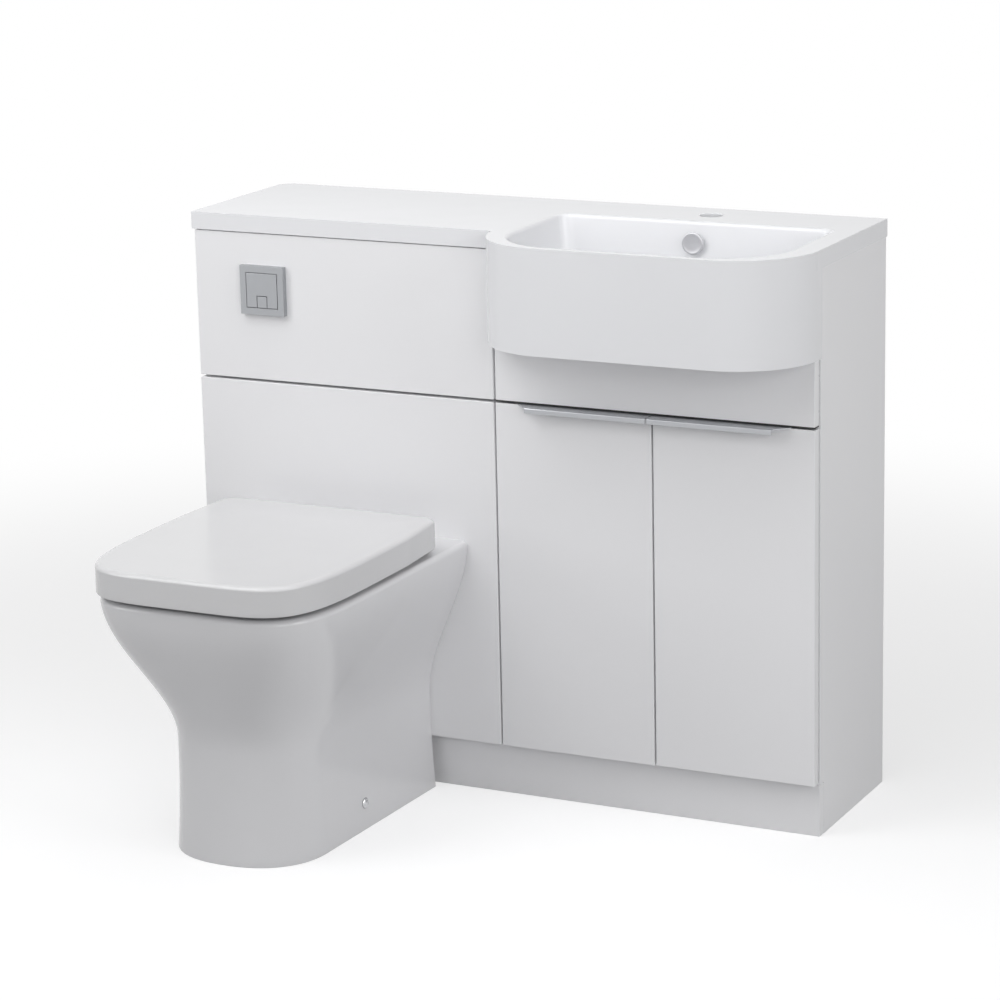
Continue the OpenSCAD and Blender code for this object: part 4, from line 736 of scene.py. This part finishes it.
def makePan():
    v = pan
    m, rim, f, oz, iz = v["middle"], v["rim"], v["face"], v["outletZ"], v["inletZ"]
    r, q, end, s = v["outletRadius"], v["inletRadius"], v["outletEnd"], v["screw"]
    low, seatX = rim - v["deck"] - 3, panHalfAt(v["fixZ"], v["fixY"]) - 0.3
    body = panShell()
    path = through([(m, y, z) for y, z in v["trap"] + ((f - 58, oz + 6), (f - 34, oz), (f - 14, oz))], 6)
    combine(body, "UNION", sweepTube("trapOuter", path, v["trapRadius"], 36),
            turned("spigot", (m, 0, oz), (0, 1, 0), [(r - 2, f - 20), (r, f - 19), (r, end - 1.8),
                                                     (r - 0.6, end - 0.6), (r - 2, end)], 64),
            turned("inletBoss", (m, 0, iz), (0, 1, 0), [(q + 9, f - 60), (q + 9, f - 1)], 48))
    cuts = [sweepTube("trapInner", path, v["trapRadius"] - v["trapWall"], 36),
            turned("outletBore", (m, 0, oz), (0, 1, 0),
                   [(r - 8, f - 16), (r - 8, end - 1.5), (r - 7, end + 1)], 64),
            turned("inletBore", (m, 0, iz), (0, 1, 0), [(q, f - 40), (q, f + 1)], 48),
            turned("waterWay", (m, 0, iz - 4), (0, 1, 0), [(12, -190), (12, f - 38)], 32)]
    for way in (-1, 1):  # seat bolts and floor screws
        cuts += [turned("boltHole", (m + way * v["hingePitch"] / 2, v["hingeY"], 0), (0, 0, 1),
                        [(v["bolt"], low), (v["bolt"], rim + 1)], 24),
                 turned("screwHole", (m, v["fixY"], v["fixZ"]), (way, 0, 0),
                        [(s, seatX - 20), (s, seatX), (v["capSeat"], seatX), (v["capSeat"], seatX + 12)], 32)]
    combine(body, "DIFFERENCE", *cuts)
    return place(shade(body, 40), "cabinet", "ceramic_white", "pan")


def makeScrewCaps():
    r, x = 8, panHalfAt(pan["fixZ"], pan["fixY"])
    profile = [(r - 0.4, x), (r, x + 0.5), (r, x + 1.4), (r - 0.8, x + 2.5), (r - 2, x + 3),
               (r - 2.9, x + 2.6), (r - 3.4, x + 2.7), (r - 4.2, x + 3.6), (0.8, x + 4)]
    bm = bmesh.new()
    for way in (-1, 1):
        lathe(bm, (pan["middle"], pan["fixY"], pan["fixZ"]), (way, 0, 0), profile, 40)
    return place(shade(pieceFrom(bm, "panScrewCaps"), 50), "cabinet", "chrome", "pan_screw_caps")


makePan()
makeScrewCaps()
dress(pan_fixings=1.0)
print("pan: done")


# Seat and lid

lid = {"low": 400, "high": 444, "half": 187, "backHalf": 180, "front": 520, "back": -84, "corner": 24,
       "round": 7, "roll": 9, "wall": 5, "roof": 8, "power": 5, "hingeY": -98, "hingeZ": 412, "post": 22,
       "lug": 10, "lugRadius": 8, "pin": 4.06, "opening": 12, "openingCorner": 3}
seat = {"low": 397, "high": 417, "inset": 7.5, "back": -116, "corner": 10, "hole": (110, 142), "holeY": -318,
        "lugReach": 30}


def shellRing(z, inset, half, backHalf, front, back, corner, cornerSteps):
    # Ring of the lid or seat: round back corners, straight sides, squarish nose
    h, b, r = half - inset, backHalf - inset, max(4, corner - inset / 2)
    y1 = back - inset
    angles = [math.radians(90 * i / cornerSteps) for i in range(cornerSteps + 1)]
    turn = [(b - r + r * math.sin(a), y1 - r + r * math.cos(a)) for a in angles]
    x0, y0 = turn[-1]
    sideEnd = pan["side"][1]
    run = [(x0 + (h - x0) * k / 6, y0 + (sideEnd - y0) * k / 6) for k in range(1, 6)]
    flat = closedOutline(turn + run + nose(h, front - inset, lid["power"], sideEnd, 34), pan["middle"], 20)
    return [(x, y, z) for x, y in flat]


def lidRing(z, inset):
    return shellRing(z, inset, lid["half"], lid["backHalf"], lid["front"], lid["back"], lid["corner"], 10)


def seatRing(z, inset):
    i = seat["inset"]
    return shellRing(z, inset, lid["half"] - i, lid["backHalf"] - i, lid["front"] - i, seat["back"],
                     seat["corner"], 6)


def lugs(name, way, side):
    # Hinge lugs beside the pan's posts, as one object: way 1 outside of them, way -1 within
    bm = bmesh.new()
    for s in (-1, 1):
        x = pan["middle"] + s * (pan["hingePitch"] / 2 + way * (lid["post"] / 2 + 0.5 + lid["lug"] / 2))
        skin(bm, [[(x + e * lid["lug"] / 2, y, z) for y, z in side] for e in (-1, 1)])
    return pieceFrom(bm, name)


def pinTool():
    bm = bmesh.new()
    for s in (-1, 1):
        lathe(bm, (pan["middle"] + s * pan["hingePitch"] / 2, lid["hingeY"], lid["hingeZ"]), (1, 0, 0),
              [(lid["pin"], -24), (lid["pin"], 24)], 32)
    return pieceFrom(bm, "pinTool")


def makeLid():
    v = lid
    low, high, roof, wall = v["low"], v["high"], v["high"] - v["roof"], v["wall"]
    hy, hz, r, g = v["hingeY"], v["hingeZ"], v["lugRadius"], v["openingCorner"]
    levels = [(roof, 70), (roof, 40), (roof, 14), (roof - 1.2, 9.5), (roof - 3.4, 7),  # inside
              (roof - 6, wall + 0.4), (low + 2, wall), (low + 0.6, wall - 0.4), (low, wall - 1.2),
              (low, 1.6), (low + 0.4, 0.6), (low + 1.4, 0), (low + 8, 0), (low + 18, 0)]  # lower edge, side
    for k in range(0, 13):  # soft top edge
        a = math.radians(90 * k / 12)
        levels.append((high - v["round"] + (v["round"] - 0.9) * math.sin(a), v["roll"] * (1 - math.cos(a))))
    levels += [(high - 0.45, 32), (high - 0.15, 52), (high, 80)]
    piece = shell("lid", [lidRing(z, inset) for z, inset in levels])
    blocks = bmesh.new()
    for s in (-1, 1):  # openings for the hinge posts
        c, w = pan["middle"] + s * pan["hingePitch"] / 2, v["post"] / 2 + v["lug"] + 2
        topZ = hz + v["opening"] - g
        side = ([(c - w, low - 2), (c + w, low - 2)] + arc(c + w - g, topZ, g, 0, 90, 4)
                + arc(c - w + g, topZ, g, 90, 180, 4))
        skin(blocks, [[(x, y, z) for x, z in side] for y in (v["back"] - 12, v["back"] + 2)])
    combine(piece, "DIFFERENCE", pieceFrom(blocks, "hingeOpenings"))
    eye = arc(hy, hz, r, 180, 360, 16)
    combine(piece, "UNION", lugs("lidLugs", 1, eye + [(hy + r, hz), (hy + 6, roof + 1), (hy - r, roof + 1)]))
    combine(piece, "DIFFERENCE", pinTool())
    return place(shade(piece, 40), "lid", "seat_white", "lid")


def makeSeat():
    v = seat
    low, high, hy, hz, r = v["low"], v["high"], lid["hingeY"], lid["hingeZ"], lid["lugRadius"]
    outside = [(low, 3), (low + 0.8, 1.2), (low + 2.6, 0), (high - 9, 0), (high - 6, 0.4), (high - 3.6, 1.8),
               (high - 1.6, 4.6), (high - 0.4, 9), (high, 15)]
    inside = [(high, 18), (high - 0.5, 12.5), (high - 1.8, 8), (high - 4.2, 4.2), (high - 7.5, 1.6),
              (high - 11, 0.3), (low + 5, 0), (low + 1.6, 0.4), (low + 0.4, 1.6), (low, 3.5)]
    rings = [seatRing(z, inset) for z, inset in outside]
    angles = [math.atan2(y - v["holeY"], x - pan["middle"]) for x, y, z in seatRing(low, 0)]
    rings += [ovalRing(z, v["hole"][0] + g, v["hole"][1] + g, v["holeY"], angles, 2.4) for z, g in inside]
    piece = shell("seat", rings, loop=True)
    end = hy - v["lugReach"]
    eye = arc(hy, hz, r, -90, 90, 16)
    combine(piece, "UNION", lugs("seatLugs", -1, eye + [(end, hz + r - 4), (end, hz - r)]))
    combine(piece, "DIFFERENCE", pinTool())
    return place(shade(piece, 40), "seat", "seat_white", "seat")


makeLid()
makeSeat()
dress(seat_hinges=0.8, seat_buffers=1.2, lid_buffers=1.2)
print("seat and lid: done")


# What repeats or follows a line: Geometry Nodes

def newTree(name, **inputs):
    # A tree with the given inputs, and one for the material
    tree = bpy.data.node_groups.new(name, "GeometryNodeTree")
    for label, kind in (("Geometry", "Geometry"), *inputs.items(), ("Material", "Material")):
        tree.interface.new_socket(name=label, in_out="INPUT", socket_type="NodeSocket" + kind)
    tree.interface.new_socket(name="Geometry", in_out="OUTPUT", socket_type="NodeSocketGeometry")
    make = Maker(tree, "GeometryNode")
    return tree, make, make.add("NodeGroupInput")


def closeTree(make, shape, given):
    real = make.add("RealizeInstances", {"Geometry": shape})[0]
    done = make.add("SetMaterial", {"Geometry": real, "Material": given["Material"]})[0]
    make.add("NodeGroupOutput", {0: done})


def grow(base, tree, slot, name, **values):
    # Runs a tree on a base object and leaves a plain mesh piece
    values["Material"] = finishOf[slot]
    step = base.modifiers.new("grow", "NODES")
    step.node_group = tree
    for item in tree.interface.items_tree:
        if item.in_out == "INPUT" and item.name in values:
            step[item.identifier] = values[item.name]
    mesh = plainMesh(base)
    bpy.data.objects.remove(base)
    mesh.name = name
    return addObject(name, mesh)


def screwTree():
    # The screw object on every point, turned to the point's own direction
    tree, make, given = newTree("screwField", Screw="Object", Size="Float")
    facing = make.add("InputNamedAttribute", data_type="FLOAT_VECTOR", sockets={"Name": "facing"})[0]
    turn = make.add("FunctionNodeAlignRotationToVector", {"Vector": facing}, axis="Z")[0]
    head = make.add("ObjectInfo", {"Object": given["Screw"]})["Geometry"]
    laid = make.add("InstanceOnPoints", {"Points": given["Geometry"], "Instance": head, "Rotation": turn,
                                         "Scale": given["Size"]})[0]
    closeTree(make, laid, given)
    return tree


def hoseTree():
    # Tube along a curve whose radius shrinks between the ribs
    tree, make, given = newTree("ribbedHose", Radius="Float", Rib="Float", Pitch="Float", Step="Float")
    line = make.add("ResampleCurve", {"Curve": given["Geometry"], "Length": given["Step"]}, mode="LENGTH")[0]
    along = make.add("SplineParameter")["Length"]
    wave = make.add("ShaderNodeMath", {0: along / given["Pitch"] * (2 * math.pi)}, operation="COSINE")[0]
    size = given["Radius"] - (0.5 - 0.5 * wave) * given["Rib"]
    ring = make.add("CurvePrimitiveCircle", {"Resolution": 24, "Radius": 1.0})[0]
    tube = make.add("CurveToMesh", {"Curve": line, "Profile Curve": ring, "Scale": size,
                                    "Fill Caps": True})[0]
    closeTree(make, make.add("SetShadeSmooth", {"Geometry": tube})[0], given)
    return tree


def threadTree():
    # Stack of ridges along a straight line
    tree, make, given = newTree("threadRidges", Ridge="Object", Count="Int", Pitch="Float", Size="Float")
    offset = make.add("ShaderNodeCombineXYZ", {"Z": given["Pitch"]})[0]
    line = make.add("MeshLine", {"Count": given["Count"], "Offset": offset})[0]
    ridge = make.add("ObjectInfo", {"Object": given["Ridge"]})["Geometry"]
    laid = make.add("InstanceOnPoints", {"Points": line, "Instance": ridge, "Scale": given["Size"]})[0]
    closeTree(make, laid, given)
    return tree


screwLook = {"radius": 3.6, "dome": 0.9, "cross": 0.9, "crossReach": 2.2}
screwAt = {"cupX": 524, "cupY": -0.8, "plateX": 518.5, "plateY": 46, "hinges": (166, 521), "plateHalf": 17,
           "cupHalf": 24, "back": 246, "pullX": (560, 642, 725), "pullY": -0.85, "pullZ": 592}


def screwHead():
    v = screwLook
    r, h = v["radius"], v["dome"]
    head = turned("screwHead", (0, 0, 0), (0, 0, 1),
                  [(r, -0.3), (r, 0.15), (r * 0.93, h * 0.55), (r * 0.7, h * 0.9), (r * 0.4, h)], 20)
    a, b = v["cross"] / 2, v["crossReach"] / 2
    slot = pieceFrom(prism(bmesh.new(), [(-a, -b), (a, -b), (a, -a), (b, -a), (b, a), (a, a),
                                         (a, b), (-a, b), (-a, a), (-b, a), (-b, -a), (-a, -a)], 0.1, 3),
                     "crossTool", tidy=False)
    for part in (head, slot):  # back to the origin of the frame
        part.data.transform(Matrix.Translation(-toFrame.translation))
    return shade(combine(head, "DIFFERENCE", slot), 35)


def screwsOn(name, body, spots, tree, head, size=1.0):
    mesh = bpy.data.meshes.new(name)
    mesh.from_pydata([toFrame @ Vector(p) for p, way in spots], [], [])
    facing = mesh.attributes.new("facing", "FLOAT_VECTOR", "POINT")
    for i, (p, way) in enumerate(spots):
        facing.data[i].vector = way
    place(grow(addObject(name + "Spots", mesh), tree, "zinc", name, Screw=head, Size=size), body, "zinc")


def makeScrews():
    tree, head, v = screwTree(), screwHead(), screwAt
    fixed = []
    for z in v["hinges"]:
        for d in (-v["plateHalf"], v["plateHalf"]):
            fixed += [((v["plateX"], v["plateY"], z + d), (1, 0, 0)),
                      ((doorMirror - v["plateX"], v["plateY"], z + d), (-1, 0, 0))]
    for x in (25, 475, 525, 975):  # corner blocks behind the plinth
        fixed.append(((x, 34, 40), (0, 1, 0)))
    for x, way, depths in ((16, 1, (45, 227)), (484, -1, (45, 227)), (516, 1, (186,)), (984, -1, (186,))):
        for y in depths:  # angles under the worktop
            fixed += [((x + way * 16, y, 832), (0, 0, -1)), ((x + way * 2, y, 816), (way, 0, 0))]
    for x in (522, 978):  # back of the basin cabinet
        for z in (100, 290, 480, 670, 815):
            fixed.append(((x, 254, z), (0, 1, 0)))
    for s in (-1, 1):  # plates of the cistern and the rail's ends
        fixed += [((pan["middle"] + s * 120, v["back"], z), (0, 1, 0)) for z in (712, 744)]
        fixed += [((250 + s * 222, v["back"], z), (0, -1, 0)) for z in (750, 818)]
    screwsOn("carcassScrews", "cabinet", fixed, tree, head)
    cups = [(v["cupX"], v["cupY"], z + d) for z in v["hinges"] for d in (-v["cupHalf"], v["cupHalf"])]
    pulls = [(x, v["pullY"], v["pullZ"]) for x in v["pullX"]]
    for what, spots, size in (("DoorScrews", cups, 0.85), ("PullScrews", pulls, 0.7)):
        for side in ("left", "right"):
            here = [(x if side == "left" else doorMirror - x, y, z) for x, y, z in spots]
            screwsOn(side + what, side + "_door", [(p, (0, 1, 0)) for p in here], tree, head, size)
    bpy.data.objects.remove(head)


def curveThrough(points, name):
    data = bpy.data.curves.new(name, "CURVE")
    data.dimensions = "3D"
    line = data.splines.new("POLY")
    line.points.add(len(points) - 1)
    for spot, p in zip(line.points, points):
        spot.co = (*(toFrame @ Vector(p)), 1)
    return addObject(name, data)


hose = {"x": 750, "fallY": 185, "top": 801.5, "levelZ": 687, "bend": 26, "start": 102.5, "radius": 9.3,
        "rib": 1.5, "pitch": 4.4, "step": 0.6}
airTube = {"radius": 3, "rib": 0, "pitch": 10, "step": 3, "plateX": 120, "start": 29, "end": 774,
           "valveY": 171, "tankY": 100}


def tubeAlong(points, tree, v, slot, name, node):
    size = {key.capitalize(): v[key] * 0.001 for key in ("radius", "rib", "pitch", "step")}
    piece = grow(curveThrough(points, name + "Line"), tree, slot, name, **size)
    place(shade(piece, 60), "cabinet", slot, node)


def makeTubes():
    tree, v, w = hoseTree(), hose, airTube
    turn = v["fallY"] - v["bend"]
    points = [(v["x"], v["start"], v["levelZ"]), (v["x"], turn, v["levelZ"])]
    points += [(v["x"], y, z) for y, z in arc(turn, v["levelZ"] + v["bend"], v["bend"], -90, 0, 12)][1:]
    tubeAlong(points + [(v["x"], v["fallY"], v["top"])], tree, v, "cistern_plastic", "overflowHose",
              "overflow_hose")
    x, y, x1, y1, mid, end = w["plateX"], w["start"], pan["middle"], w["valveY"], w["tankY"], w["end"]
    for name, z, dx, lift in (("airTube1", 756, 7, 6), ("airTube2", 735, -7, -3)):
        high = end + lift
        points = through([(x, y, z), (x, y + 10, z), (x + 3, y + 25, high - 10), (x + 16, mid + 8, high + 8),
                          (x + 48, mid + 30, high + 22), (x1 - 50, y1 - 14, high + 28),
                          (x1 + dx - 16, y1 - 3, end + 24 + lift / 2), (x1 + dx, y1, end + 12),
                          (x1 + dx, y1, end)], 10)
        tubeAlong(points, tree, w, "tube_blue", name, "air_tubes")


threadLook = {"out": 0.16, "in": -0.5, "half": 0.55, "steps": 48}


def ridgeRing(radius):
    # One ridge around the origin of the frame
    v, rings = threadLook, []
    x, y, z = -1000 * toFrame.translation
    for k in range(v["steps"]):
        a = 2 * math.pi * k / v["steps"]
        rings.append([(x + (radius + d) * math.cos(a), y + (radius + d) * math.sin(a), z + up)
                      for d, up in ((v["in"], -v["half"]), (v["out"], 0.0), (v["in"], v["half"]))])
    return shell("ridge", rings, loop=True)


def makeThreads():
    tree = threadTree()
    for name, x, y, z, radius, count, pitch, slot in (
            ("wasteThread", 750, 60, 620, 20.78, 21, 1.9, "chrome"),
            ("inletThread", pan["middle"] - 120, 171, 443.5, 10.3, 13, 1.8, "grey_plastic")):
        ridge = ridgeRing(radius)
        base = addObject(name + "Line", bpy.data.meshes.new("line"))
        piece = grow(base, tree, slot, name, Ridge=ridge, Count=count, Pitch=pitch * 0.001, Size=1.0)
        bpy.data.objects.remove(ridge)
        piece.data.transform(Matrix.Translation(toFrame @ Vector((x, y, z))))
        place(shade(piece, 30), "cabinet", slot)


makeScrews()
makeTubes()
makeThreads()
print("screws, tubes and threads: done")


# Stage, lights and camera

stage = {"floorColour": (0.46, 0.46, 0.465), "floorGlow": 0.57, "shadowReach": (1.1, 2.6), "world": 0.06}
lamps = (  # name, place, aim, size in metres and power in watts
    ("above", (0.1, -0.2, 3.2), (0, 0, 0.6), 2.4, 31),
    ("overLeft", (-0.9, -1.1, 2.3), (0, 0.1, 0.5), 1.4, 21),
    ("nearFront", (0.3, -2.0, 2.1), (0.1, 0, 0.7), 1.2, 4.5),
    ("left", (-3.0, -2.4, 1.8), (0, 0, 0.5), 1.8, 31),
    ("frontRight", (2.6, -2.8, 1.5), (0, -0.2, 0.4), 1.6, 34),
    ("right", (3.3, -0.6, 2.0), (0.3, 0, 0.5), 1.8, 36))
camera = {"at": (2.16943, -4.22059, 1.70893), "yaw": 0.463340595, "pitch": 0.252479416, "roll": -0.0221198,
          "lens": 122.65}


def seenRays(make):
    # 1 for what the camera sees directly, mirrored or through glass, 0 for light that spreads
    ray = make.add("LightPath")
    return ray["Is Camera Ray"] + ray["Is Glossy Ray"] + ray["Is Transmission Ray"]


def glowing(make, kind, strength):
    return make.add(kind, {"Color": (1, 1, 1, 1), "Strength": strength})[0]


def makeStage():
    # The camera sees the floor as white, apart from the object's shadow near it
    v = stage
    floor = block("floor", rect(-17500, 18500, -18129, 17871), -40, 0)
    f = Finish("paleFloor", v["floorColour"], 0.9, IOR=1.4)
    look = f.coat(f.noise(2.5, 3) * 0.5, tuple(c - 0.01 for c in v["floorColour"]), None, f.noise(40, 2),
                  0.0002, 0.2)
    mask = seenRays(f.make)
    away = f.make.add("VectorMath", {0: f.place}, operation="LENGTH")["Value"]
    start, end = v["shadowReach"]
    far = f.make.add("MapRange", {"Value": away, "From Min": start, "From Max": end},
                     interpolation_type="SMOOTHSTEP")[0]
    near = f.make.add("AddShader", {0: f.shader["BSDF"], 1: glowing(f.make, "Emission", v["floorGlow"])})[0]
    shown = f.make.add("MixShader", {0: far, 1: near, 2: glowing(f.make, "Emission", 1.0)})[0]
    total = f.make.add("MixShader", {0: mask, 1: f.shader["BSDF"], 2: shown})[0]
    out = next(n for n in f.make.tree.nodes if n.type == "OUTPUT_MATERIAL")
    f.make.tree.links.new(total.out, out.inputs["Surface"])
    floor.data.materials.append(look)


def makeWorld():
    world = bpy.data.worlds.new("studio")
    bpy.context.scene.world = world
    world.use_nodes = True
    world.node_tree.nodes.clear()
    make = Maker(world.node_tree)
    mixed = make.add("MixShader", {0: seenRays(make), 1: glowing(make, "Background", stage["world"]),
                                   2: glowing(make, "Background", 1.0)})[0]
    make.add("OutputWorld", {"Surface": mixed})


def makeLamps():
    for name, at, aim, size, power in lamps:
        data = bpy.data.lights.new(name, "AREA")
        data.shape, data.size, data.energy = "SQUARE", size, power
        lamp = addObject(name, data)
        lamp.location = at
        lamp.rotation_euler = (Vector(aim) - Vector(at)).to_track_quat("-Z", "Y").to_euler()


def makeCamera():
    v = camera
    data = bpy.data.cameras.new("camera")
    data.lens, data.sensor_width = v["lens"], 36
    eye = addObject("camera", data)
    eye.matrix_world = (Matrix.Translation(v["at"]) @ Matrix.Rotation(v["yaw"], 4, "Z")
                        @ Matrix.Rotation(math.pi / 2 - v["pitch"], 4, "X")
                        @ Matrix.Rotation(v["roll"], 4, "Z"))
    bpy.context.scene.camera = eye


makeStage()
makeWorld()
makeLamps()
makeCamera()
bpy.context.scene.view_settings.view_transform = "Standard"
print("stage: done")
